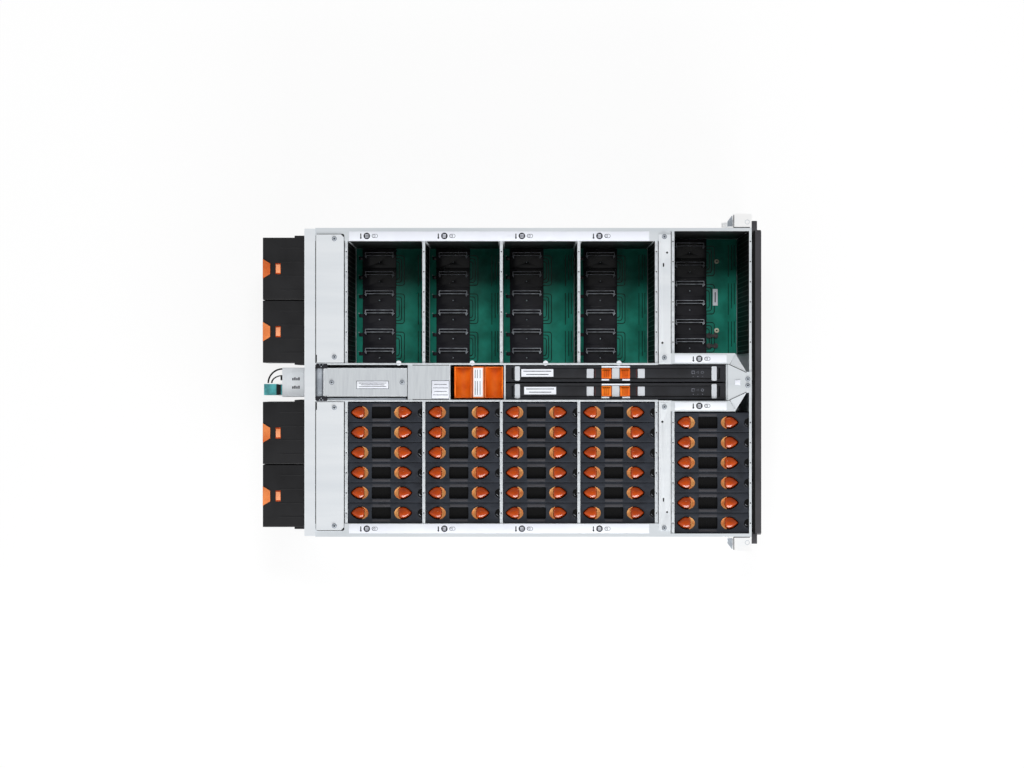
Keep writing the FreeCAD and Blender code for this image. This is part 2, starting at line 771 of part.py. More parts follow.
def fans():
    number = 0
    for side in (-1, 1):
        for place in (0, 1):
            number += 1
            module, x_mid, z_mid = fan_module(side, place)
            save("fan_module_%d" % number, module)
            save("fan_rotor_%d" % number, fan_rotor(x_mid, z_mid))


# ---------------------------------------------------------------- power supplies
def power_supply(floor):
    """Steel case with an inlet and a blower opening at the rear, and a curved bail."""
    rear = behind(body_depth) + psu_overhang
    front = rear - psu_length
    half = psu_width / 2
    case = box(-half, half, front, rear, floor, floor + psu_height)
    inlet_z = floor + inlet_edge
    inlet = box(-inlet_wide / 2, inlet_wide / 2, rear - inlet_deep, rear + 1, inlet_z, inlet_z + inlet_high)
    blower_z = inlet_z + inlet_high + inlet_edge
    blower = box(-blower_wide / 2, blower_wide / 2, rear - inlet_deep, rear + 1,
                 blower_z, blower_z + blower_high)
    case = fuse(case.cut([inlet, blower]), *latch_ears(floor, rear))
    return [case] + bail(floor, rear)


def bail(floor, rear):
    """Two curved strips from the case's corner round to the latch side."""
    z = latch_height(floor) - bail_thick / 2
    strips = []
    for reach_x, reach_y in ((bail_wide, bail_long), (inner_bail_wide, inner_bail_long)):
        strips.append(quarter_strip(bail_foot, bail_foot + reach_x, rear, rear + reach_y, z))
    return strips


def quarter_strip(x0, x1, y0, y1, z):
    """Strip that leaves a face at x1, y0 and bends a quarter turn towards x0, y1."""
    inner_x, inner_y = x1 - bail_thick, y1 - bail_thick

    def knee(a, b):
        """Point of a quarter arc half-way round, with its ends at (a, y0) and (x0, b)."""
        lean = math.sqrt(0.5)
        return V(x0 + (a - x0) * lean, y0 + (b - y0) * lean, z)

    edges = [Part.Arc(V(x1, y0, z), knee(x1, y1), V(x0, y1, z)),
             Part.LineSegment(V(x0, y1, z), V(x0, inner_y, z)),
             Part.Arc(V(x0, inner_y, z), knee(inner_x, inner_y), V(inner_x, y0, z)),
             Part.LineSegment(V(inner_x, y0, z), V(x1, y0, z))]
    return Part.Face(Part.Wire([edge.toShape() for edge in edges])).extrude(V(0, 0, bail_thick))


def latch_height(floor):
    """Height of a power supply's latch pin."""
    return floor + psu_height - latch_drop


def latch_span():
    """Left and right ends of the latch, beside the bail's foot."""
    right = bail_foot - latch_side_gap - bail_thick
    return right - latch_wide, right


def latch_ears(floor, rear):
    """Two ears on the rear face and the latch's pin between them."""
    z = latch_height(floor)
    left, right = latch_span()
    ear = latch_pin * 2
    pieces = []
    for x in (left - latch_side_gap - latch_ear, right + latch_side_gap):
        pieces.append(box(x, x + latch_ear, rear - latch_ear, rear + 2 * ear, z - ear, z + ear))
    pieces.append(stud(latch_pin, latch_wide + 2 * latch_side_gap + latch_ear,
                       V(left - latch_side_gap - latch_ear / 2, rear + ear, z), V(1, 0, 0)))
    return pieces


def psu_latch(floor):
    """Thumb paddle with a raised lip, turning on its pin."""
    pivot = behind(body_depth) + psu_overhang + latch_pin * 2
    z = latch_height(floor)
    left, right = latch_span()
    half = latch_thick / 2
    end = pivot + latch_long
    lip = z + latch_thick
    profile = [V(left, pivot - half, z - half), V(left, end, z - half), V(left, end, lip),
               V(left, end - latch_thick, lip), V(left, end - 2 * latch_thick, z + half),
               V(left, pivot - half, z + half)]
    paddle = prism(profile, V(latch_wide, 0, 0))
    return paddle.cut(stud_bore(latch_pin, latch_wide + 2, V(left - 1, pivot, z), V(1, 0, 0)))


# ---------------------------------------------------------------- I/O modules
def io_floor():
    return tray_height + sheet + moulding_thick + io_fit


def io_module(side):
    """Tall narrow module with a bed along its top that the two levers lie in."""
    x0, x1 = side * io_gap / 2, side * (io_gap / 2 + io_wide)
    y0 = behind(io_front)
    y1 = y0 + io_length
    top = deck - io_sink
    body = box(x0, x1, y0, y1, io_floor(), top)
    x_mid = (x0 + x1) / 2
    bed = box(x_mid - lever_wide / 2 - io_fit, x_mid + lever_wide / 2 + io_fit,
              y0 + lever_end - io_fit * 6, y1 - lever_end + io_fit * 6, top - lever_bed, top + 1)
    pins = []
    for y in (y0 + lever_end, y1 - lever_end):
        pins.append(stud(latch_pin, lever_wide + 4 * io_fit,
                         V(x_mid - lever_wide / 2 - 2 * io_fit, y, lever_axis()), V(1, 0, 0)))
    return fuse(body.cut(bed), *pins)


def lever_axis():
    return deck - io_sink - lever_bed / 2


def io_lever(side, end):
    """Ejector lever from its pin at one end of the module to the pad in the middle."""
    x_mid = side * (io_gap + io_wide) / 2
    y0 = behind(io_front) + lever_end
    y1 = behind(io_front) + io_length - lever_end
    pivot = y0 if end < 0 else y1
    reach = -end
    z = lever_axis()
    half = lever_thick / 2
    x0, x1 = x_mid - lever_wide / 2, x_mid + lever_wide / 2
    joint = pivot + reach * (lever_length - pad_length)
    bar = box(x0, x1, pivot - reach * half, joint, z - half, z + half)
    pad = box(x0, x1, joint, pivot + reach * lever_length, z - half, z + half + pad_rise)
    return [bar.cut(stud_bore(latch_pin, lever_wide + 2, V(x0 - 1, pivot, z), V(1, 0, 0))), pad]


# ---------------------------------------------------------------- air baffle
def air_baffle():
    """Thin moulded bridge whose top dips into two round scoops beside a flat."""
    outside = baffle_block(0)
    return outside.cut(baffle_block(baffle_wall))


def baffle_block(inset):
    """The bridge's outside as a solid block, or its inside for an inset of one wall."""
    y0 = behind(io_front + io_length) + io_fit + bulkhead + baffle_gap
    y1 = y0 + baffle_length
    top = deck - io_sink
    foot = tray_height + sheet
    side = baffle_wide / 2 + (1 if inset else 0)
    block = box(-side, side, y0 + inset, y1 - inset, foot - (1 if inset else 0), top - inset)
    chord = (baffle_length - baffle_flat) / 2
    radius = chord ** 2 / (8 * baffle_scoop) + baffle_scoop / 2
    scoops = [rod(radius + inset, 2 * side + 2, V(-side - 1, y, top - baffle_scoop + radius), V(1, 0, 0))
              for y in (y0 + chord / 2, y1 - chord / 2)]
    return block.cut(scoops)


# ---------------------------------------------------------------- bezel and ears
def bezel():
    """Vented front moulding with a side tab at each end."""
    y1 = behind(-bezel_gap)
    y0 = y1 - bezel_depth
    half = bezel_width / 2
    z0 = bezel_margin
    plate = box(-half, half, y0, y1, z0, z0 + bezel_height)
    front_edges = [e for e in plate.Edges if abs(e.BoundBox.YMin - y0) < 1e-6 and e.BoundBox.YLength < 1e-6]
    plate = plate.makeChamfer(bezel_wall / 2, front_edges)
    hollow = box(-half + bezel_wall, half - bezel_wall, y0 + bezel_wall, y1 + 1,
                 z0 + bezel_wall, z0 + bezel_height - bezel_wall)
    tabs = []
    for side in (-1, 1):
        tabs.append(box(side * (half - bezel_wall), side * (half + bezel_tab), y1 - bezel_tab_depth,
                        behind(-bezel_seat), z0 + bezel_height / 3, z0 + bezel_height))
    slots_cut = []
    pitch = (bezel_width - 4 * bezel_wall) / bezel_slots
    for column in range(bezel_slots):
        x = -half + 2 * bezel_wall + (column + 0.5) * pitch
        for level in (-1, 1):
            z = z0 + bezel_height / 2 + level * (bezel_slot_height / 2 + bezel_wall)
            slots_cut.append(box(x - bezel_slot_width / 2, x + bezel_slot_width / 2,
                                 y0 - 1, y0 + bezel_wall + 1,
                                 z - bezel_slot_height / 2, z + bezel_slot_height / 2))
    return fuse(plate.cut(hollow), *tabs).cut(slots_cut)


def rack_ears():
    """Folded bracket on each side wall with two rack holes in its front flange."""
    ears = []
    z0 = ear_margin
    mid = z0 + ear_height / 2
    for side in (-1, 1):
        inner, outer = side * body_half, side * panel_half
        front, rear = behind(0), behind(ear_depth)
        flange = box(inner, outer, front, front + ear_sheet, z0, z0 + ear_height)
        foot = box(inner, inner + side * ear_sheet, front, rear, z0, z0 + ear_height)
        gussets = []
        for z, step in ((z0, ear_step), (z0 + ear_height - ear_sheet, -ear_step)):
            gussets.append(box(inner, outer, front, front + ear_top, z, z + ear_sheet))
            gussets.append(prism([V(inner, front, z + step), V(outer, front, z + step),
                                  V(outer, front + ear_short, z + step), V(inner, rear, z + step)],
                                 V(0, 0, ear_sheet)))
        holes = [rod(ear_hole_radius, ear_sheet + 2,
                     V(side * rack_hole_across / 2, front - 1, mid + up), V(0, 1, 0))
                 for up in (-rack_hole_up / 2, rack_hole_up / 2)]
        ears.append(fuse(flange, foot, *gussets).cut(holes))
    return ears


# ---------------------------------------------------------------- screws
def screw_spots():
    """Middle of the underside of every visible screw head, with its cover's top."""
    top = deck + cover_sheet
    spots = []
    outer = liner_x + sheet
    for side in (-1, 1):
        for x in (tunnel_half + plate_screw_inset, outer + plate_screw_outset):
            spots.append(V(side * x, behind(tub_depth - plate_screw_y), top))
        for x in (front_edge - beam_screw_inset, outer + beam_screw_outset):
            spots.append(V(side * x, behind(beam_rear - beam_screw_y), top))
        spots.append(V(side * nose_screw_x, behind(nose_screw_y), top))
    cover_rear = behind(tub_depth - cover_back)
    for y in (cover_rear - cover_screw_rear, cover_rear - long_cover + cover_screw_front):
        spots.append(V(0, y, deck))
    return spots


def screw_holes(plate):
    """Clearance holes through a cover for the screws that stand on it."""
    bounds = plate.BoundBox
    return [stud(screw_radius + screw_clearance, 4 * cover_sheet, spot - V(0, 0, 2 * cover_sheet),
                 V(0, 0, 1), screw_sides)
            for spot in screw_spots()
            if bounds.isInside(spot - V(0, 0, cover_sheet / 2))]


def screws():
    """Pan heads with short shanks."""
    up = V(0, 0, 1)
    return [fuse(stud(screw_head, screw_head_height, spot, up, head_sides),
                 stud(screw_radius, cover_sheet, spot - up * cover_sheet, up, screw_sides))
            for spot in screw_spots()]


os.makedirs("parts", exist_ok=True)
save("chassis_tub", chassis_tub())
save("rear_panel", rear_panel())
save("bay_dividers", bay_dividers())
save("cross_beams", cross_beams())
save("centre_tunnel", centre_tunnel())
save("drive_backplanes", drive_backplanes())
save("rear_cover_plates", rear_cover_plates())
save("tunnel_covers", tunnel_covers())
save("air_baffle", air_baffle())
save("bezel", bezel())
save("rack_ears", rack_ears())
save("screws", screws())
for name, floor in zip(("lower", "upper"), psu_floors()):
    save("psu_" + name, power_supply(floor))
    save("psu_latch_" + name, psu_latch(floor))
for name, side in (("a", -1), ("b", 1)):
    save("io_module_" + name, io_module(side))
    save("io_lever_%s_front" % name, io_lever(side, -1))
    save("io_lever_%s_rear" % name, io_lever(side, 1))
fans()
drives()
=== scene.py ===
import math
import bmesh
import bpy
from bpy.props import FloatProperty, FloatVectorProperty, IntProperty, PointerProperty
from mathutils import Matrix, Vector


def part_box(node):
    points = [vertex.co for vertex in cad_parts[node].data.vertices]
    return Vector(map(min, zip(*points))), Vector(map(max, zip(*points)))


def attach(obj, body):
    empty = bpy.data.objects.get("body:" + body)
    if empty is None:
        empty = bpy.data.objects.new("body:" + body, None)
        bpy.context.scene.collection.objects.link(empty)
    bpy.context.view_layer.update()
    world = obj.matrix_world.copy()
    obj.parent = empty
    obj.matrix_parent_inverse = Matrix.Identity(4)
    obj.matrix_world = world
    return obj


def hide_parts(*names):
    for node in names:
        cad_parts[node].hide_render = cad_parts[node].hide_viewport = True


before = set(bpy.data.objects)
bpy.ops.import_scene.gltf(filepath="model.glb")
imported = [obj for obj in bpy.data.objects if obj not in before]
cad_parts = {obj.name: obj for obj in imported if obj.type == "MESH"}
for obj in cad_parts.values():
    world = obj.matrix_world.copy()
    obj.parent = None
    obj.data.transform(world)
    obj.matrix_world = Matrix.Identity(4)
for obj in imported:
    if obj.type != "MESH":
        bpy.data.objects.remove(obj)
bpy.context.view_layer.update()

bl_info = {
    "name": "Disk shelf",
    "version": (1, 0, 0),
    "blender": (4, 5, 0),
    "location": "3D View > Sidebar > Disk shelf",
    "description": "Dresses the packed disk shelf in its moulded, folded and printed parts",
    "category": "Object",
}

MM = 0.001


# ---------------------------------------------------------------- places, in millimetres
def extent(node):
    """Lowest and highest corner of a node at rest, in millimetres."""
    low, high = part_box(node)
    return low / MM, high / MM


TUB_LOW, TUB_HIGH = extent("chassis_tub")
DECK = TUB_HIGH.z
SHEET = 1.2                      # folded steel
ROWS = (1, 2, 3, 4, 5)
SLOTS = (1, 2, 3, 4, 5, 6)
STRIP_WIDTH = 4.2                # flat top of each divider
STRIP_TOP = DECK - 0.8
ROW_LENGTH = 106.8
PITCH = 28.8
MARGIN = 1.6                     # from a divider's inner end to its row's first slot
BOARD_LOW, BOARD_TOP = 4.2, 5.8
BOARD_HALF = 53                  # half the length of a row's board
MOULDING_TOP = 9.2
MOULDING_HALF = 25.2             # half the length of a socket moulding
SOCKET_TOP = 15.5
TUNNEL_HALF = 27.2               # outer faces of the tunnel's walls
LINER = 202.2                    # side liner beyond the last slot
FLANGE = 216.5                   # narrow flange beside the front row
MOULDING_BACK = 35.4             # middle of a socket moulding, from the rear end of its row
RIB_PITCH = 7.2                  # ribs of the guide panels
GUIDE_LOW, GUIDE_TOP = 20, 170   # foot of the ribs, head of the panels
LINER_LOW, LINER_TOP, LINER_HALF = 12, 171, 51
MESH_SHARP = math.radians(35)    # edges sharper than this stay sharp in the shading
LENS_MM, SENSOR_MM = 76.15, 36


def behind(distance):
    """Y of a plane this far behind the front wall's face."""
    return TUB_LOW.y + distance


def row_middle(row):
    """Y of the middle of a row of drives."""
    low, high = extent("drive_row%d_slot1" % row)
    return (low.y + high.y) / 2


def slot_middle(row, slot):
    """Distance of a slot's middle from the middle of the shelf."""
    low, high = extent("drive_row%d_slot%d" % (row, slot))
    return -(low.x + high.x) / 2


def row_start(row):
    """Inner edge of a row's first slot."""
    return slot_middle(row, 1) - PITCH / 2


# ---------------------------------------------------------------- colours and sizes a user may change
def linear(value):
    """Scene-linear colour from an sRGB hex value."""
    parts = [int(value[i:i + 2], 16) / 255 for i in (1, 3, 5)]
    return [p / 12.92 if p <= 0.04045 else ((p + 0.055) / 1.055) ** 2.4 for p in parts] + [1.0]


def tint(name, description, value):
    """Colour property with its start value from an sRGB hex value."""
    return FloatVectorProperty(name=name, description=description, default=linear(value),
                               size=4, min=0, max=1, subtype="COLOR")


class ShelfColours(bpy.types.PropertyGroup):
    """Colours of the shelf's materials"""
    steel: tint("Sheet steel", "Zinc-plated steel of the tub and tunnel", "#e2e7eb")
    steel_shade: tint("Sheet steel shade", "Darker rolling streaks in the sheet steel", "#d3d9de")
    cover: tint("Covers", "Plated steel of the plates that are screwed down", "#f0f4f8")
    cover_shade: tint("Cover shade", "Darker streaks in the covers", "#e6ebf0")
    silver: tint("Tunnel cover", "Brushed cover over the power supplies", "#d9dee2")
    silver_shade: tint("Tunnel cover shade", "Brush lines in the tunnel cover", "#ced3d8")
    ear: tint("Rack ears", "Bright plating of the rack ears", "#ffffff")
    ear_shade: tint("Rack ear shade", "Duller patches of the rack ears", "#f8fafc")
    film: tint("Label film", "White printed film", "#e9ecf5")
    ink: tint("Ink", "Printed marks on the films", "#2f3038")
    pale_ink: tint("Pale ink", "Lighter printed marks", "#7d808a")
    orange: tint("Touch orange", "Plastic of every part that a hand pulls", "#b54403")
    orange_deep: tint("Touch orange shade", "Deeper tone of the orange plastic", "#983302")
    # Painted shade: red-brown of the finger tabs' low faces and edges and of the baffle's grooves
    painted_orange_shade: tint("Touch orange fold", "Deepest tone, low on the finger tabs", "#6a1f04")
    # Painted sheen: paler amber standing in for the gloss on the dishes under the finger tabs
    painted_sheen_amber: tint("Amber", "Thin plastic of the dishes under the finger tabs", "#eeb271")
    fan_orange: tint("Fan orange", "Paler orange of the fan frames", "#ea8a4e")
    peach: tint("Peach", "Palest orange of the fan buttons", "#f4a67c")
    baffle: tint("Baffle orange", "Plastic of the air baffle", "#f47d20")
    baffle_shade: tint("Baffle shade", "Deeper tone of the baffle", "#dd5a0e")
    carrier: tint("Carrier black", "Plastic of the drive carriers", "#2b2f37")
    carrier_shade: tint("Carrier shade", "Darker tone of the carriers", "#20232a")
    # Also the colour of painted shade in holes, sockets, gaps and along folds
    lens: tint("Lens black", "Deepest black of windows and slots", "#050506")
    module: tint("Module black", "Textured case of the controller modules", "#2a2b2f")
    module_shade: tint("Module shade", "Darker tone of the module cases", "#202023")
    fan: tint("Fan black", "Plastic of the fan housings", "#1e1e20")
    fan_shade: tint("Fan shade", "Darker tone of the fan housings", "#151517")
    bezel: tint("Bezel black", "Plastic of the front bezel", "#403f43")
    bezel_shade: tint("Bezel shade", "Darker tone of the bezel", "#38373b")
    moulding: tint("Socket black", "Glass-filled nylon of the drive sockets", "#2b2b31")
    moulding_shade: tint("Socket shade", "Darker tone of the sockets", "#1b1b1f")
    nylon_grey: tint("Nylon grey", "Grey nylon of the hinge bars and catches", "#c9ccd2")
    # Light grey, also used as the painted highlight on the sockets' rims and in the carriers' notches
    edge_grey: tint("Edge grey", "Polished rims of the sockets", "#b9c0c8")
    spring: tint("Spring blue", "Blued leaf of the rear spring", "#9ca3ac")
    board: tint("Board green", "Solder mask of the drive boards", "#2b9480")
    board_shade: tint("Board shade", "Darker solder mask over bare laminate", "#1d6f5f")
    track: tint("Track green", "Copper tracks under the solder mask", "#0d352d")
    laminate: tint("Laminate red", "Oxide red of the catches' edges", "#7a3b3c")
    ferrite: tint("Ferrite", "Dull brown-grey of the chokes", "#5a5554")
    cream: tint("Cream", "Nylon heads of the boards' screws", "#e4e4c4")
    teal: tint("Latch teal", "Plastic of the power supply latches", "#66c8cc")
    teal_shade: tint("Latch shade", "Deeper tone of the latches", "#478e93")
    floor: tint("Floor", "Seamless studio floor", "#ffffff")


class ShelfSizes(bpy.types.PropertyGroup):
    """Sizes of the shelf's small forms"""
    gauge_hole: FloatProperty(name="Gauge hole", description="Diameter of the holes in the divider strips",
                              default=1.9 * MM, min=0.5 * MM, max=3 * MM, unit="LENGTH")
    edge: FloatProperty(name="Edge", description="Rounding of moulded edges",
                        default=0.5 * MM, min=0.1 * MM, max=1 * MM, unit="LENGTH")
    grille_cell: FloatProperty(name="Grille cell", description="Width of a cell of the bezel's honeycomb",
                               default=6.5 * MM, min=5 * MM, max=12 * MM, unit="LENGTH")
    blades: IntProperty(name="Blades", description="Blades on each fan wheel", default=7, min=3, max=11)
    camera_height: FloatProperty(name="Camera height", description="Camera above the floor",
                                 default=3.275, min=1, max=10, unit="LENGTH")


# ---------------------------------------------------------------- forms
def recalc(form):
    """Turns every normal outwards."""
    bmesh.ops.recalc_face_normals(form, faces=form.faces)
    return form


def soften(form, edges, amount, steps=2):
    """Rounds edges off."""
    bmesh.ops.bevel(form, geom=list(edges), offset=amount, offset_type="OFFSET", affect="EDGES",
                    segments=steps, profile=0.5, material=-1, clamp_overlap=True)
    return form


def block(low, high, edge=0.0, steps=2):
    """Box between two corners, whichever way round they are given."""
    low, high = Vector(low), Vector(high)
    size = [max(abs(b - a), 1e-4) for a, b in zip(low, high)]
    form = bmesh.new()
    bmesh.ops.create_cube(form, size=1.0,
                          matrix=Matrix.Translation((low + high) / 2) @ Matrix.Diagonal((*size, 1.0)))
    if edge:
        soften(form, form.edges, edge, steps)
    return form


def raise_faces(form, push):
    """Pushes a flat form along a vector into a closed solid."""
    solid = bmesh.ops.extrude_face_region(form, geom=list(form.faces))
    moved = [part for part in solid["geom"] if isinstance(part, bmesh.types.BMVert)]
    bmesh.ops.translate(form, vec=push, verts=moved)
    return recalc(form)


def prism(points, push, edge=0.0, steps=2):
    """Flat outline pushed along a vector."""
    form = bmesh.new()
    form.faces.new([form.verts.new(point) for point in points])
    raise_faces(form, push)
    if edge:
        soften(form, form.edges, edge, steps)
    return form


def rod(radius, start, end, steps=24, edge=0.0, tip=None):
    """Round bar, or a cone when the tip has its own radius."""
    start, end = Vector(start), Vector(end)
    axis = end - start
    place = Matrix.Translation((start + end) / 2) @ axis.to_track_quat("Z", "Y").to_matrix().to_4x4()
    form = bmesh.new()
    bmesh.ops.create_cone(form, cap_ends=True, cap_tris=False, segments=steps, radius1=radius,
                          radius2=radius if tip is None else tip, depth=axis.length, matrix=place)
    if edge:
        rims = [e for e in form.edges if any(len(f.verts) > 4 for f in e.link_faces)]
        soften(form, rims, edge, 2)
    return form


def stud(radius, x, y, low, high, steps=24, edge=0.0):
    """Upright round bar."""
    return rod(radius, (x, y, low), (x, y, high), steps, edge)


def narrowed(across, along, taper):
    """Width across an egg shape: it narrows towards the end that the taper's sign points at."""
    reach = max(0.0, math.copysign(along, along * taper))
    return across * (1 - abs(taper) * reach ** 1.5)


def outline(form, x, y, width, height, sides=4, corner=0.0, taper=0.0):
    """Closed line of a plate or an opening: four sides give an oblong, more an ellipse or an egg."""
    square = sides == 4
    reach = math.sqrt(0.5) if square else 0.5
    place = (Matrix.Translation((x, y, 0)) @ Matrix.Diagonal((width, height, 1, 1))
             @ Matrix.Rotation(math.pi / 4 if square else 0, 4, "Z"))
    made = bmesh.ops.create_circle(form, cap_ends=False, segments=sides, radius=reach, matrix=place)
    verts = made["verts"]
    if corner:
        made = bmesh.ops.bevel(form, geom=verts, offset=corner, offset_type="OFFSET", affect="VERTICES",
                               segments=4, profile=0.5, material=-1, clamp_overlap=True)
        verts = made["verts"]
    for vert in verts if taper else ():
        vert.co.x = x + narrowed(vert.co.x - x, (vert.co.y - y) / (height / 2), taper)
    return list({edge for vert in verts for edge in vert.link_edges})


def loop(form, points):
    """Closed line through points in XY."""
    verts = [form.verts.new((x, y, 0)) for x, y in points]
    return [form.edges.new(pair) for pair in zip(verts, verts[1:] + verts[:1])]


def arc(x, y, radius, start, end, steps=12):
    """Points along an arc, its angles in degrees."""
    angles = [math.radians(start + (end - start) * step / steps) for step in range(steps + 1)]
    return [(x + radius * math.cos(a), y + radius * math.sin(a)) for a in angles]


def plate(rim, openings, thickness, edge=0.0):
    """Flat plate from z = 0 up; a line is a list of points, or x, y, width, height, sides, corner, taper."""
    form = bmesh.new()
    lines = []
    for shape in [rim] + list(openings):
        lines += loop(form, shape) if isinstance(shape, list) else outline(form, *shape)
    bmesh.ops.triangle_fill(form, use_beauty=True, use_dissolve=False, edges=lines)
    raise_faces(form, (0, 0, thickness))
    if edge:
        tops = [e for e in form.edges if min(v.co.z for v in e.verts) > thickness - 1e-5
                and len(e.link_faces) == 2 and e.calc_face_angle(0) > 1]
        soften(form, tops, edge, 2)
    return form


def turned(profile, steps=32):
    """Closed form from a half profile of (radius, height) points, turned about Z."""
    form = bmesh.new()
    verts = [form.verts.new((radius, 0, height)) for radius, height in profile]
    edges = [form.edges.new(pair) for pair in zip(verts, verts[1:])]
    bmesh.ops.spin(form, geom=verts + edges, cent=(0, 0, 0), axis=(0, 0, 1), angle=2 * math.pi,
                   steps=steps, use_merge=True, use_duplicate=False)
    bmesh.ops.remove_doubles(form, verts=form.verts, dist=1e-3)
    return recalc(form)


def cut_away(form, point, normal):
    """Cuts off what lies on the normal's side of a plane and closes the cut."""
    cut = bmesh.ops.bisect_plane(form, geom=form.verts[:] + form.edges[:] + form.faces[:],
                                 plane_co=point, plane_no=normal, clear_outer=True)
    edges = [part for part in cut["geom_cut"] if isinstance(part, bmesh.types.BMEdge)]
    bmesh.ops.holes_fill(form, edges=edges, sides=0)


def bent_wire(radius, start, centre, axis, angle, steps=16, sides=10):
    """Round wire bent about an axis, with its ends closed."""
    start, centre, axis = Vector(start), Vector(centre), Vector(axis)
    heading = axis.cross(start - centre).normalized()
    form = bmesh.new()
    made = bmesh.ops.create_circle(form, cap_ends=False, segments=sides, radius=radius,
                                   matrix=Matrix.Translation(start)
                                   @ heading.to_track_quat("Z", "Y").to_matrix().to_4x4())
    ring = list({edge for vert in made["verts"] for edge in vert.link_edges})
    bmesh.ops.spin(form, geom=made["verts"] + ring, cent=centre, axis=axis, angle=angle,
                   steps=steps, use_merge=False, use_duplicate=False)
    bmesh.ops.holes_fill(form, edges=form.edges, sides=sides)
    return recalc(form)


def honeycomb(columns, levels, cell, wall, thickness, wanted=None):
    """Honeycomb sheet in XY about the origin; wanted says which cell middles are kept."""
    reach = cell / math.sqrt(3)
    form = bmesh.new()
    for level in range(levels):
        for column in range(columns):
            x = (column - (columns - 1) / 2 + (level % 2) / 2) * cell
            y = (level - (levels - 1) / 2) * reach * 1.5
            if wanted and not wanted(x, y):
                continue
            rings = []
            for radius in (reach, reach * (1 - wall / cell)):
                place = Matrix.Translation((x, y, 0)) @ Matrix.Rotation(math.pi / 6, 4, "Z")
                made = bmesh.ops.create_circle(form, cap_ends=False, segments=6, radius=radius, matrix=place)
                rings += list({edge for vert in made["verts"] for edge in vert.link_edges})
            bmesh.ops.bridge_loops(form, edges=rings)
    bmesh.ops.remove_doubles(form, verts=form.verts, dist=cell / 100)
    return raise_faces(form, (0, 0, thickness))


def placed(form, move=(0, 0, 0), turn=0.0, axis="Z", mirror=False):
    """Turns a form about the origin, then moves it."""
    if mirror:
        bmesh.ops.scale(form, vec=(-1, 1, 1), verts=form.verts)
        bmesh.ops.reverse_faces(form, faces=form.faces)
    bmesh.ops.transform(form, matrix=Matrix.Translation(move) @ Matrix.Rotation(turn, 4, axis),
                        verts=form.verts)
    return form


def standing(form, y):
    """Stands a form drawn in XY upright, so that its thickness runs rearwards from y."""
    bmesh.ops.transform(form, matrix=Matrix.Translation((0, y, 0)) @ Matrix(
        ((1, 0, 0, 0), (0, 0, 1, 0), (0, 1, 0, 0), (0, 0, 0, 1))), verts=form.verts)
    return recalc(form)


class Assembly:
    """Forms gathered into one piece, each with its own material."""

    def __init__(self, both_sides=False):
        self.form = bmesh.new()
        self.finishes = []
        self.both_sides = both_sides

    def add(self, form, finish, both_sides=False, lower=None, level=0.0, **place):
        """Takes a form in, after placing it; both_sides adds its mirror image across the shelf.

        Finishes are names of stuffs. Faces below the level, before placing, get the lower one if it is given.
        """
        for name in (finish, lower):
            if name and name not in self.finishes:
                self.finishes.append(name)
        for face in form.faces:
            low = lower and face.calc_center_median().z < level
            face.material_index = self.finishes.index(lower if low else finish)
        if place:
            placed(form, **place)
        mesh = bpy.data.meshes.new("form")
        form.to_mesh(mesh)
        self.form.from_mesh(mesh)
        if both_sides or self.both_sides:
            placed(form, mirror=True)
            form.to_mesh(mesh)
            self.form.from_mesh(mesh)
        form.free()
        bpy.data.meshes.remove(mesh)

    def piece(self, name, body="chassis", slot=None, replaces=(), move=(0, 0, 0)):
        """Makes a shown piece of what was gathered, in metres, riding on a body."""
        mesh = bpy.data.meshes.new(name)
        self.form.to_mesh(mesh)
        mesh.transform(Matrix.Scale(MM, 4) @ Matrix.Translation(move))
        for finish in self.finishes:
            mesh.materials.append(stuff(finish))
        mesh.shade_smooth()
        mesh.set_sharp_from_angle(angle=MESH_SHARP)
        shown = bpy.data.objects.new(name, mesh)
        bpy.context.scene.collection.objects.link(shown)
        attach(shown, body)
        if replaces:
            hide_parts(*replaces)
        return shown


# ---------------------------------------------------------------- materials
def add_node(tree, kind, settings=None, links=None, **properties):
    """Adds a node with its settings and links."""
    node = tree.nodes.new(kind)
    for name, value in properties.items():
        setattr(node, name, value)
    for socket, value in (settings or {}).items():
        node.inputs[socket].default_value = value
    for socket, source in (links or {}).items():
        tree.links.new(source, node.inputs[socket])
    return node


STEEL = dict(metallic=0.28, roughness=0.45, patch=26.0, stretch=(1, 0.1, 1), grain=1.2, depth=0.01)
MOULDED = dict(ior=1.54, roughness=0.34, patch=30.0, grain=1.4, depth=0.03)

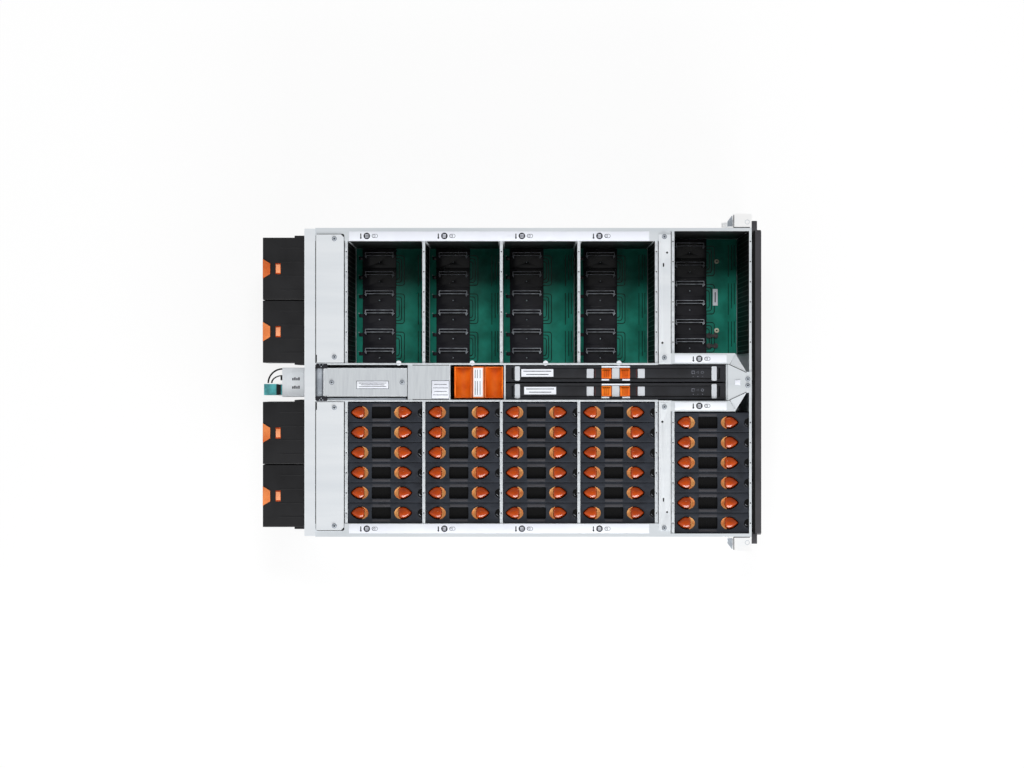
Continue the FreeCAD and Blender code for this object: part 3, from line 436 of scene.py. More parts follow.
# Each stuff: its two tones, then what its making gives the eye.
STUFFS = {
    # Zinc-plated sheet steel, rolled: faint streaks along the roll and a dull even shine.
    "zinc_plated_steel": dict(STEEL, light="steel", dark="steel_shade"),
    # Galvanised strip: brighter, with small patches of frosting.
    "galvanised_strip": dict(STEEL, light="steel", dark="silver_shade", patch=6.0, stretch=(1, 1, 1)),
    # Nickel-plated cover sheet: pale, smooth, with very soft roll streaks.
    "nickel_plated_sheet": dict(STEEL, light="cover", dark="cover_shade", roughness=0.4),
    # Brushed stainless cover: fine lines across the tunnel.
    "brushed_stainless": dict(STEEL, light="silver", dark="silver_shade", patch=3.0, stretch=(0.1, 1, 1),
                              roughness=0.34),
    # Bright zinc on the thick ears: nearly white, slightly cloudy.
    "bright_zinc": dict(STEEL, light="ear", dark="ear_shade", patch=18.0, stretch=(1, 1, 1)),
    # Cast aluminium of a drive's base: matt, pitted by the mould.
    "cast_aluminium": dict(STEEL, light="silver_shade", dark="steel_shade", roughness=0.55, grain=0.9,
                           depth=0.06, stretch=(1, 1, 1)),
    # Polyester label film: smooth, satin, a trace of unevenness in the white.
    "polyester_film": dict(light="film", dark="cover", ior=1.6, roughness=0.35, patch=60.0, grain=2.0,
                           depth=0.004),
    # Screen ink: flat and dull on the film.
    "screen_ink": dict(light="ink", dark="module", ior=1.5, roughness=0.6, patch=8.0, grain=1.0, depth=0.01),
    # Thinner grey ink of small print.
    "pale_ink": dict(light="pale_ink", dark="ink", ior=1.5, roughness=0.6, patch=8.0, grain=1.0,
                     depth=0.01),
    # Orange ABS that a hand pulls: saturated, polished by the tool; its tone drifts at random between two
    # oranges.
    "orange_abs": dict(MOULDED, light="orange", dark="orange_deep", roughness=0.2, patch=14.0, grain=3.0,
                       depth=0.01),
    # Painted shade: the same ABS in red-brown on the finger tabs' low faces, round their edges and in the
    # baffle's grooves, where shade falls.
    "thick_orange_abs": dict(MOULDED, light="painted_orange_shade", dark="painted_orange_shade", roughness=0.2, patch=14.0,
                             grain=3.0, depth=0.01),
    # Painted sheen: the dish under each finger tab is a paler amber than the tab, for the gloss on its curve.
    "amber_abs": dict(MOULDED, light="painted_sheen_amber", dark="fan_orange", roughness=0.2, patch=12.0, grain=3.0,
                      depth=0.01),
    # Paler orange PBT of the fan frames: eggshell texture.
    "orange_pbt": dict(MOULDED, light="fan_orange", dark="orange", patch=60.0),
    # Palest orange of the fan buttons: satin.
    "peach_pbt": dict(MOULDED, light="peach", dark="fan_orange", patch=20.0),
    # Baffle ABS: thin and slightly see-through, so its tone drifts gently.
    "baffle_abs": dict(MOULDED, light="baffle", dark="baffle_shade", roughness=0.33, patch=22.0, grain=2.4,
                       depth=0.015),
    # Carrier: black PC/ABS with a satin spark texture.
    "black_pc_abs": dict(MOULDED, light="carrier", dark="carrier_shade", roughness=0.36, patch=18.0),
    # Deepest black: real black parts such as the bails and the drives' chips, and painted shade in holes,
    # sockets, gaps and along folds.
    "black_lens": dict(light="lens", dark="lens", ior=1.5, roughness=0.3, patch=10.0, grain=1.0,
                       depth=0.01),
    # Black mesh of the carriers' air windows, and the matt guide panels: it swallows light.
    "black_mesh": dict(light="lens", dark="lens", ior=1.35, roughness=0.6, patch=2.0, grain=0.6, depth=0.1),
    # Module case: black powder coat, pebbled.
    "black_powder_coat": dict(MOULDED, light="module", dark="module_shade", roughness=0.38, grain=1.6,
                              depth=0.05),
    # Fan housing: black glass-filled PBT, matt with fine swirl.
    "black_pbt": dict(MOULDED, light="fan", dark="fan_shade", roughness=0.4, depth=0.04),
    # Bezel: black ABS with a coarse spark finish.
    "spark_finish_abs": dict(MOULDED, light="bezel", dark="bezel_shade", roughness=0.5, depth=0.05),
    # Sockets: glass-filled nylon, polished by a smooth tool so that it mirrors the bay.
    "glass_filled_nylon": dict(light="moulding", dark="moulding_shade", ior=1.53, roughness=0.2,
                               patch=40.0, grain=6.0, depth=0.06),
    # Painted highlight: light grey on the sockets' rims, horns and pins and in the carriers' notches, for
    # light caught by their edges.
    "polished_nylon": dict(light="edge_grey", dark="pale_ink", ior=1.53, roughness=0.3, patch=9.0, grain=2.0,
                           depth=0.01),
    # Natural grey nylon of hinge bars and catches: satin.
    "grey_nylon": dict(MOULDED, light="nylon_grey", dark="silver_shade", patch=16.0),
    # Sintered ferrite of the chokes: dull brown-grey.
    "ferrite": dict(light="ferrite", dark="ink", ior=1.7, roughness=0.6, patch=4.0, grain=0.8, depth=0.03),
    # Cream nylon heads of the boards' screws.
    "cream_nylon": dict(MOULDED, light="cream", dark="silver_shade", patch=9.0),
    # Screws: dull phosphated steel, darker than what they hold.
    "phosphated_steel": dict(STEEL, light="edge_grey", dark="spring", roughness=0.5, patch=3.0),
    # Spring steel with a thin blue oxide.
    "blued_spring_steel": dict(STEEL, light="spring", dark="edge_grey", patch=14.0),
    # FR-4 board under glossy solder mask: the weave shows faintly through the green.
    "solder_mask": dict(light="board", dark="board_shade", ior=1.5, roughness=0.3, patch=26.0, grain=2.2,
                        depth=0.02),
    # Tracks under the mask: a darker green with a slight rise.
    "masked_copper": dict(light="track", dark="lens", ior=1.5, roughness=0.3, patch=9.0, grain=2.0,
                          depth=0.01),
    # Teal ABS of the latches: eggshell texture.
    "teal_abs": dict(MOULDED, light="teal", dark="teal_shade", patch=12.0),
    # Oxide-red fibre strip beside the catches: dull, with short fibres.
    "oxide_laminate": dict(light="laminate", dark="moulding_shade", ior=1.5, roughness=0.5, patch=12.0,
                           grain=1.4, depth=0.03),
    # Gold flash on contacts.
    "gold_flash": dict(STEEL, light="fan_orange", dark="baffle", roughness=0.3, patch=3.0),
}
MADE = {}


def stuff(name):
    """The material of that name, made the first time it is asked for."""
    if name in MADE:
        return MADE[name]
    recipe = STUFFS[name]
    colours = bpy.context.scene.shelf_colours
    material = bpy.data.materials.new(name)
    material.use_nodes = True
    tree = material.node_tree
    tree.nodes.clear()
    place = add_node(tree, "ShaderNodeTexCoord").outputs["Object"]
    run = add_node(tree, "ShaderNodeMapping", {"Scale": recipe.get("stretch", (1, 1, 1))},
                   {"Vector": place}).outputs["Vector"]
    patches = add_node(tree, "ShaderNodeTexNoise", {"Scale": 1 / (recipe["patch"] * MM), "Detail": 4.0},
                       {"Vector": run}).outputs["Fac"]
    tones = add_node(tree, "ShaderNodeValToRGB", links={"Fac": patches})
    tones.color_ramp.elements[0].position = 0.3
    tones.color_ramp.elements[1].position = 0.6
    tones.color_ramp.elements[0].color = getattr(colours, recipe["dark"])
    tones.color_ramp.elements[1].color = getattr(colours, recipe["light"])
    gloss = add_node(tree, "ShaderNodeMapRange",
                     {"To Min": recipe["roughness"] + 0.06, "To Max": recipe["roughness"] - 0.06},
                     {"Value": patches}).outputs["Result"]
    pores = add_node(tree, "ShaderNodeTexNoise", {"Scale": 1 / (recipe["grain"] * MM), "Detail": 2.0},
                     {"Vector": place}).outputs["Fac"]
    bump = add_node(tree, "ShaderNodeBump", {"Strength": 0.6, "Distance": recipe["depth"] * MM},
                    {"Height": pores}).outputs["Normal"]
    settings = {"Metallic": recipe.get("metallic", 0.0)}
    if "ior" in recipe:
        settings["IOR"] = recipe["ior"]
    shader = add_node(tree, "ShaderNodeBsdfPrincipled", settings,
                      {"Base Color": tones.outputs["Color"], "Roughness": gloss, "Normal": bump})
    add_node(tree, "ShaderNodeOutputMaterial", links={"Surface": shader.outputs["BSDF"]})
    MADE[name] = material
    return material


def dress(node, name):
    """Gives a carried CAD node its material."""
    for material_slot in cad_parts[node].material_slots:
        material_slot.material = stuff(name)


# ---------------------------------------------------------------- operators
class SHELF_OT_sheet_metal(bpy.types.Operator):
    """Finishes the tub, rear panel, tunnel, covers and ears, and adds the tunnel walls' hems"""
    bl_idname = "shelf.sheet_metal"
    bl_label = "Sheet metal"

    def execute(self, context):
        for name, nodes in (("zinc_plated_steel", ("chassis_tub", "centre_tunnel")),
                            ("nickel_plated_sheet", ("rear_panel", "rear_cover_plates")),
                            ("brushed_stainless", ("tunnel_covers",)), ("bright_zinc", ("rack_ears",))):
            for node in nodes:
                dress(node, name)
        hems = Assembly()
        steel = "galvanised_strip"
        rear = TUB_HIGH.y
        hems.add(block((TUNNEL_HALF - 2.2, behind(134), DECK - 0.4), (TUNNEL_HALF + 0.4, rear, DECK + 0.5),
                       0.3), steel, both_sides=True)
        for number in range(4):
            y = behind(189.8 + 105.1 * number)
            tab = stud(3.6, TUNNEL_HALF + 0.4, y, DECK - 0.6, DECK + 0.4, 20, 0.2)
            hems.add(tab, "polyester_film")
        top = extent("centre_tunnel")[1].z
        for side in (-1, 1):
            fold = (side * 25.2, behind(31.6), top)
            # Painted shade: thin black rods along the nose's folds.
            for end in ((side * 41.4, behind(23.6), top - 3), (side * 14.2, behind(7.8), top)):
                hems.add(rod(0.45, fold, end, 8), "black_lens")
            # Painted shade: a thin black line along the nose's edge by the tunnel wall.
            hems.add(block((side * 25.6, behind(31.6), top - 0.3), (side * 26.2, behind(114), top + 0.06)),
                     "black_lens")
            hems.add(plate((side * 34.4, behind(125.5), 10.4, 10.4, 4, 2),
                           [(side * 34.4, behind(125.5), 9, 9, 4, 1.4)], 0.5, 0.2), "nickel_plated_sheet",
                     move=(0, 0, top - 0.1))
        hems.add(block((-3.8, behind(16.4), top - 0.1), (3.4, behind(24), top + 0.9), 0.5),
                 "polyester_film")
        hems.piece("tunnel_hems", slot="zinc_sheet")
        self.ears()
        return {"FINISHED"}

    def ears(self):
        """Lines of painted shade along the fold and the joint with the tub, grey inner gussets and rack screw
        rings of the two ears.
        """
        ink, bare = "screen_ink", "blued_spring_steel"
        top, inner = extent("rack_ears")[1].z, TUB_HIGH.x
        ears = Assembly(both_sides=True)
        # Painted shade: dark ink lines along the ear's fold and along its joint with the tub.
        for x0, x1, front, rear in ((1, 18.6, 24.9, 26.1), (0.1, 1.3, 2.6, 26)):
            ears.add(block((inner + x0, behind(front), top - 0.3), (inner + x1, behind(rear), top + 0.1)),
                     ink)
        gusset = [(inner + 0.2, behind(27), top - 5), (inner + 0.2, behind(34.1), top - 5),
                  (inner + 9.8, behind(34.1), top - 5), (inner + 17.8, behind(28), top - 5),
                  (inner + 17.8, behind(27), top - 5)]
        ears.add(prism(gusset, (0, 0, 1.2), 0.2), bare)
        ears.add(plate((inner + 8.4, behind(6.2), 7, 7, 24), [(inner + 8.4, behind(6.2), 5, 5, 24)], 0.1),
                 "zinc_plated_steel", move=(0, 0, top - 0.02))
        ears.piece("ear_seams", slot="ear_steel")


class SHELF_OT_dividers(bpy.types.Operator):
    """Builds the divider walls with their gauge holes, guide panels and the side liners"""
    bl_idname = "shelf.dividers"
    bl_label = "Dividers"

    def execute(self, context):
        hole = context.scene.shelf_sizes.gauge_hole / MM
        steel, black = "galvanised_strip", "black_pbt"
        walls, guides = Assembly(both_sides=True), Assembly(both_sides=True)
        spots = [(row_middle(1) + (ROW_LENGTH + STRIP_WIDTH) / 2, row_start(1), FLANGE)]
        for row in ROWS[1:]:
            spots.append((row_middle(row) - (ROW_LENGTH + STRIP_WIDTH) / 2, row_start(2), LINER))
        spots.append((row_middle(5) + (ROW_LENGTH + STRIP_WIDTH) / 2, row_start(2), LINER))
        for y, start, end in spots:
            inner, middle = start - MARGIN, (start - MARGIN + end) / 2
            span = end - inner
            rounds = [(start + (slot - 0.5) * PITCH, y, hole, hole, 12) for slot in SLOTS]
            walls.add(plate((middle, y, span, STRIP_WIDTH), rounds, SHEET, 0.2), steel,
                      move=(0, 0, STRIP_TOP - SHEET))
            # Painted shade: a black plug just below the top of each gauge hole.
            for spot in rounds:
                x = spot[0]
                guides.add(stud(hole / 2 - 0.05, x, y, STRIP_TOP - 1.1, STRIP_TOP - 0.25, 12),
                           "black_lens")
            height = STRIP_TOP - SHEET - BOARD_LOW
            level = BOARD_LOW + height / 2
            windows = [(start + (pair + 0.5) * 2 * PITCH, level + 0.8, 46.8, 136, 4, 3) for pair in range(3)]
            walls.add(standing(plate((middle, level, span, height), windows, SHEET), y - SHEET / 2), steel)
            for face in (-1.5, 0.6):
                self.guide(guides, inner, span, y + face)
        low, high = row_middle(2) - ROW_LENGTH / 2, row_middle(5) + ROW_LENGTH / 2
        walls.add(block((LINER, low, BOARD_LOW), (LINER + SHEET, high, DECK - SHEET - 0.1), 0.2), steel)
        for row in ROWS[1:]:
            y = row_middle(row)
            guides.add(block((LINER - 0.5, y - LINER_HALF, LINER_LOW), (LINER, y + LINER_HALF, LINER_TOP),
                             0.2), black)
            for step in range(-2, 3):
                guides.add(block((LINER - 0.58, y + step * 20 - 3, 20), (LINER, y + step * 20 + 3, 160),
                                 0.2), black)
        inner = row_start(1) - MARGIN
        self.guide(guides, inner, FLANGE - inner, behind(2.4))
        # Painted shade: black dots for the holes of the front row's strip.
        for slot in SLOTS:
            x = row_start(1) + (slot - 0.5) * PITCH
            guides.add(stud(hole / 2, x, behind(1.8), DECK - 0.6, DECK + 0.05, 12), "black_lens")
        y = row_middle(1)
        guides.add(block((FLANGE, y - BOARD_HALF, LINER_LOW), (FLANGE + 0.8, y + BOARD_HALF, LINER_TOP),
                         0.2), black)
        walls.piece("divider_walls", slot="divider_steel", replaces=["bay_dividers"])
        guides.piece("guide_panels", slot="black_plastic", replaces=["bay_dividers"])
        return {"FINISHED"}

    def guide(self, guides, inner, span, y):
        """Black panel with close upright ribs, between which the carriers slide."""
        black = "black_mesh"
        guides.add(block((inner + 0.5, y, BOARD_TOP), (inner + span - 0.5, y + 0.9, GUIDE_TOP)), black)
        for rib in range(int(span / RIB_PITCH)):
            x = inner + RIB_PITCH * (rib + 0.7)
            guides.add(block((x - 0.6, y - 0.15, GUIDE_LOW), (x + 0.6, y + 1.05, GUIDE_TOP - 4)),
                       "black_pbt")


class SHELF_OT_boards(bpy.types.Operator):
    """Builds the drive boards with their tracks and the socket mouldings that stand on them"""
    bl_idname = "shelf.boards"
    bl_label = "Drive boards"

    def execute(self, context):
        boards, sockets = Assembly(), Assembly()
        mask, copper = "solder_mask", "masked_copper"
        for row in ROWS:
            start, y = row_start(row), row_middle(row)
            x0, x1 = start - 0.8, start + 6 * PITCH
            boards.add(block((x0, y - BOARD_HALF, BOARD_LOW), (x1, y + BOARD_HALF, BOARD_TOP), 0.2), mask,
                       both_sides=True)
            middle = y + ROW_LENGTH / 2 - MOULDING_BACK
            front = middle - MOULDING_HALF
            for group in range(3):
                x = start + (group * 2 + 1) * PITCH - 4
                for width, reach in ((46, 12.8), (37, 8.6), (28, 5.2)):
                    ring = plate((x, front, width, 2 * reach, 4, 4.5),
                                 [(x, front, width - 2.6, 2 * reach - 2.6, 4, 3.2)], 0.07)
                    boards.add(ring, copper, both_sides=True, move=(0, 0, BOARD_TOP))
                for line, inset in ((-50, 20), (-46, 14), (-41, 4)):
                    boards.add(block((x - 28 + inset, y + line, BOARD_TOP), (x + 24, y + line + 1.2,
                                     BOARD_TOP + 0.07)), copper, both_sides=True)
            for side in (-1, 1):
                for slot in SLOTS:
                    self.socket(sockets, side * (start + (slot - 0.5) * PITCH), middle)
        self.fixings(boards, row_middle(1))
        self.tunnel(boards, sockets)
        boards.piece("drive_boards", slot="board", replaces=["drive_backplanes"])
        sockets.piece("drive_sockets", slot="board", replaces=["drive_backplanes"])
        return {"FINISHED"}

    def socket(self, sockets, x, middle):
        """Stretch of moulding for one slot, with the drive's plug socket and its two guide horns."""
        # The rim stuff is painted highlight: the socket's top ring, horns and pins are light grey for the
        # light on their edges.
        nylon, rim = "glass_filled_nylon", "polished_nylon"
        base = plate((x, middle, PITCH, 2 * MOULDING_HALF), [(x - 6, middle, 2.4, 2.4, 12)],
                     MOULDING_TOP - BOARD_TOP, 0.3)
        sockets.add(base, nylon, move=(0, 0, BOARD_TOP))
        plug = x + 6
        sockets.add(plate((plug, middle, 5.6, 43, 4, 0.8), [(plug, middle, 3.0, 40.4, 4, 0.4)],
                          SOCKET_TOP - MOULDING_TOP, 0.5), nylon, move=(0, 0, MOULDING_TOP))
        sockets.add(plate((plug, middle, 5.2, 42.6, 4, 0.8), [(plug, middle, 3.4, 40.8, 4, 0.6)], 0.15), rim,
                    move=(0, 0, SOCKET_TOP - 0.1))
        sockets.add(block((plug - 0.5, middle - 19, MOULDING_TOP),
                          (plug + 0.5, middle + 19, SOCKET_TOP - 1.6), 0.2), nylon)
        for end, width in ((-1, 4.6), (1, 3.4)):
            y = middle + end * 20.8
            horn = [(plug - 2.4, y - width / 2, 0), (plug - 2.4, y + width / 2, 0),
                    (plug - 6.6, y - end * 1.2, 0)]
            sockets.add(prism(horn, (0, 0, SOCKET_TOP - MOULDING_TOP - 1), 0.2), rim,
                        move=(0, 0, MOULDING_TOP))
        sockets.add(stud(0.8, x - 6, middle, MOULDING_TOP - 1, MOULDING_TOP + 0.2, 10), rim)
        sockets.add(block((x - 2.6, middle + 25, BOARD_TOP), (x + 2.6, middle + 31, BOARD_TOP + 1.2),
                          0.4), nylon)
        sockets.add(stud(0.9, x + 3.4, middle + 31, BOARD_TOP, BOARD_TOP + 0.6, 10), rim)

    def fixings(self, boards, y):
        """Screws, sticker and chokes on the front row's board, seen on the side without drives."""
        for x in (182.5, 78.4):
            boards.add(stud(3.7, x, y - 22.8, BOARD_TOP, BOARD_TOP + 1.6, 24, 0.5), "cream_nylon")
            # Painted shade: black hex in the screw head's socket.
            boards.add(stud(1.3, x, y - 22.8, BOARD_TOP + 1.6, BOARD_TOP + 1.65, 6), "black_lens")
        boards.add(block((116, y - 24.4, BOARD_TOP), (141, y - 17.0, BOARD_TOP + 0.15)), "polyester_film")
        boards.add(block((121, y - 21.4, BOARD_TOP + 0.14), (136, y - 19.9, BOARD_TOP + 0.18)),
                   "screen_ink")
        for x in (70.5, 55.3):
            for step in (-5, 5):
                boards.add(stud(3.9, x, y - 16 + step, BOARD_TOP, BOARD_TOP + 4.2, 20, 0.8), "ferrite")
            boards.add(block((x - 2.2, y - 21, BOARD_TOP), (x + 2.2, y - 11, BOARD_TOP + 3), 0.6), "ferrite")

    def tunnel(self, boards, sockets):
        """Power board across the tunnel, with the sockets of the power supplies and modules."""
        rear = extent("psu_lower")[0].y
        top = extent("psu_upper")[1].z
        plug = rear - 8
        nylon = "glass_filled_nylon"
        boards.add(block((-26, plug - 1.6, 8.5), (26, plug, top), 0.2), "solder_mask")
        for node in ("psu_lower", "psu_upper"):
            floor = extent(node)[0].z
            sockets.add(block((-10.5, plug, floor + 19), (10.5, rear - 0.5, floor + 57), 0.6), nylon)
        for side in (-1, 1):
            sockets.add(block((side * 12.7 - 6.4, -38.9, 8.5), (side * 12.7 + 6.4, 8.1, 11.9), 0.5), nylon)


class SHELF_OT_drives(bpy.types.Operator):
    """Builds a carrier with its squeeze tabs and a disk drive for every filled slot"""
    bl_idname = "shelf.drives"
    bl_label = "Drives"

    def execute(self, context):
        edge = context.scene.shelf_sizes.edge / MM
        carrier, disk = self.carrier(edge), self.disk()
        for row in ROWS:
            for slot in SLOTS:
                name = "drive_row%d_slot%d" % (row, slot)
                low, high = extent(name)
                move = ((low.x + high.x) / 2, (low.y + high.y) / 2, 0)
                carrier.piece("carrier_row%d_slot%d" % (row, slot), name, "carrier_plastic", [name], move)
                disk.piece("disk_row%d_slot%d" % (row, slot), name, "carrier_plastic", [name], move)
        return {"FINISHED"}

    def carrier(self, edge):
        """Frame with a recessed mesh window, two finger tabs in dishes and a notch in its front edge."""
        low, high = extent("drive_row1_slot1")
        half_x, half_y = (high.x - low.x) / 2, (high.y - low.y) / 2
        top, bottom = high.z, low.z
        handle, spacing, depth, notch = 5.4, 31.4, 6.0, 6.4
        wide, long, narrowing = 19.0, 25.6, 0.42
        black, orange, lens = "black_pc_abs", "orange_abs", "black_lens"
        carrier = Assembly()
        rim = [(half_x, -half_y), (half_x, half_y), (-half_x, half_y), (-half_x, -half_y)]
        rim += arc(0, -half_y, notch, 180, 0)
        pockets = [(0, handle + side * spacing, wide, long, 28, 0, side * narrowing) for side in (-1, 1)]
        cap = plate(rim, pockets + [(0, handle, 16.6, 27.6, 4, 1.4)], depth, edge)
        carrier.add(cap, black, move=(0, 0, top - depth))
        carrier.add(block((-half_x, -half_y, top - 9), (half_x, half_y, top - depth), 0.2), black)
        mesh, strip = "black_mesh", "spark_finish_abs"
        carrier.add(block((-8.6, handle - 14.1, top - depth), (8.6, handle + 14.1, top - 3.2)), mesh)
        for number in range(8):
            y = handle - 12.25 + 3.5 * number
            carrier.add(block((-8.4, y - 0.3, top - 3.4), (8.4, y + 0.3, top - 2.6)), mesh)
        for side in (-1, 1):
            carrier.add(block((side * 9.2, handle - 12.6, top - 0.2),
                              (side * 12.4, handle + 12.6, top + 0.12), 0.1), strip)
        # The notch: its black floor is painted shade in the recess, and the two thin arcs at its rim, light
        # grey and grey, are painted highlights.
        carrier.add(plate([(notch - 0.1, -half_y + 0.2)] + arc(0, -half_y, notch - 0.2, 0, 180), [], 2.4),
                    lens, move=(0, 0, top - depth))
        for radius in (notch + 1.4, notch - 1.6):
            ridge = bent_wire(0.4, (-radius * 0.34, radius * 0.94, 0), (0, 0, 0), (0, 0, 1),
                              math.radians(52))
            carrier.add(ridge, "spark_finish_abs" if radius > notch else "polished_nylon",
                        move=(0, -half_y, top if radius > notch else top - 3.2))
        for side in (-1, 1):
            carrier.add(block((-half_x, side * 51, bottom), (half_x, side * half_y, top - 9), 0.5), black)
            for level in range(6):
                z = bottom + 12 + level * 22
                carrier.add(block((-half_x + 5, side * (half_y - 1), z), (half_x - 5, side * (half_y + 0.25),
                                  z + 12), 0.3), black)
            place = dict(move=(0, handle + side * spacing, top), turn=0 if side > 0 else math.pi)
            # The dish is painted a paler amber for the sheen on its glossy curve.
            carrier.add(self.bowl(), "amber_abs", **place)
            # Painted shade: the flap's faces below the level are red-brown, and a slightly larger red-brown
            # flap under it shows as a shadow round its edge.
            carrier.add(self.flap(), orange, lower="thick_orange_abs", level=-2.0, **place)
            carrier.add(self.flap(0.7, 0.42), "thick_orange_abs", **place)
            halo = plate((0, 0, wide + 2.2, long + 2.2, 28, 0, narrowing),
                         [(0, 0, wide + 0.2, long + 0.2, 28, 0, narrowing)], 0.3, 0.15)
            carrier.add(halo, black, move=(0, handle + side * spacing, top - 0.02), turn=place["turn"])
        return carrier

    def bowl(self):
        """Dish that the fingertip presses into; its crescent shows beyond the flap's blunt end."""
        form = turned([(0, -5.7), (5.2, -5.5), (7.4, -4.4), (8.8, -2.2), (9.3, -0.8), (9.5, -0.3),
                       (9.5, -5.9), (0, -5.9)], 28)
        bmesh.ops.scale(form, vec=(1, 12.8 / 9.5, 1), verts=form.verts)
        cut_away(form, (0, -4.4, 0), (0, 1, 0))
        return recalc(form)

    def camber(self, out):
        """Height of a flap's section, out from 0 at its middle to 1 at its edge: crown, flank, steep edge."""
        if out < 0.4:
            return 0.8 - 0.5 * out ** 2
        if out < 0.86:
            return 0.72 - 0.6 * (out - 0.4) - 0.12 * (out - 0.4) ** 2
        return 0.42 * math.sqrt(max(0.0, (1 - out) / 0.14))

    def flap(self, grow=0.0, crown=0.8):
        """Domed finger tab: blunt and high towards the window, falling to a narrow tip."""
        form = turned([(0, -6.4), (5.6, -6.3), (7.7, -5.5), (8.8, -3.9), (9.2, -1.2), (8.9, 2.0), (7.3, 5.6),
                       (5.0, 8.8), (3.0, 10.9), (1.6, 11.9), (0, 12.4)], 32)
        placed(form, turn=-math.pi / 2, axis="X")
        cut_away(form, (0, 0, -0.2), (0, 0, -1))
        for vert in form.verts:
            radius = math.hypot(vert.co.x, vert.co.z)
            out = min(1.0, abs(vert.co.x) / max(radius, 0.01))
            if vert.co.z > 0.1 and radius > 0.1:
                vert.co.z = (4 + 0.56 * radius) * self.camber(out)
            fall = max(0.0, vert.co.y + 6.4) / 18.8
            vert.co.z = vert.co.z * crown / 0.8 - 5.7 - 0.6 * fall ** 2
            if vert.co.y < 0:
                vert.co.y -= grow
        return recalc(form)

    def disk(self):
        """Disk drive with its lid, film, motor hub, board and screws."""
        bottom = extent("drive_row1_slot1")[0].z
        disk = Assembly()
        cast, film = "cast_aluminium", "polyester_film"
        disk.add(block((-12.2, -50.8, bottom), (12.2, 50.8, bottom + 147), 1.2), cast)
        upright = dict(turn=math.pi / 2, axis="Y")
        lid = plate((0, 0, 140, 97, 4, 7), [], 0.85, 0.3)
        disk.add(lid, "brushed_stainless", move=(12.2, 0, bottom + 74), **upright)
        disk.add(plate((0, 0, 84, 62, 4, 2), [], 0.1), film, move=(13.0, 0, bottom + 74), **upright)
        disk.add(rod(12.5, (12.9, 0, bottom + 100), (13.04, 0, bottom + 100), 40), "brushed_stainless")
        board = plate((0, 0, 62, 95, 4, 3), [], 0.8)
        disk.add(board, "solder_mask", move=(-13.0, 0, bottom + 34), **upright)
        for y, z, size in ((-22, 34, 16), (10, 40, 12), (28, 22, 8)):
            disk.add(block((-13.05, y - size / 2, bottom + z - size / 2), (-12.9, y + size / 2,
                           bottom + z + size / 2)), "black_lens")
        for y in (-44, 44):
            for z in (10, 74, 138):
                disk.add(rod(2.2, (12.6, y, bottom + z), (13.05, y, bottom + z), 12), "galvanised_strip")
        return disk


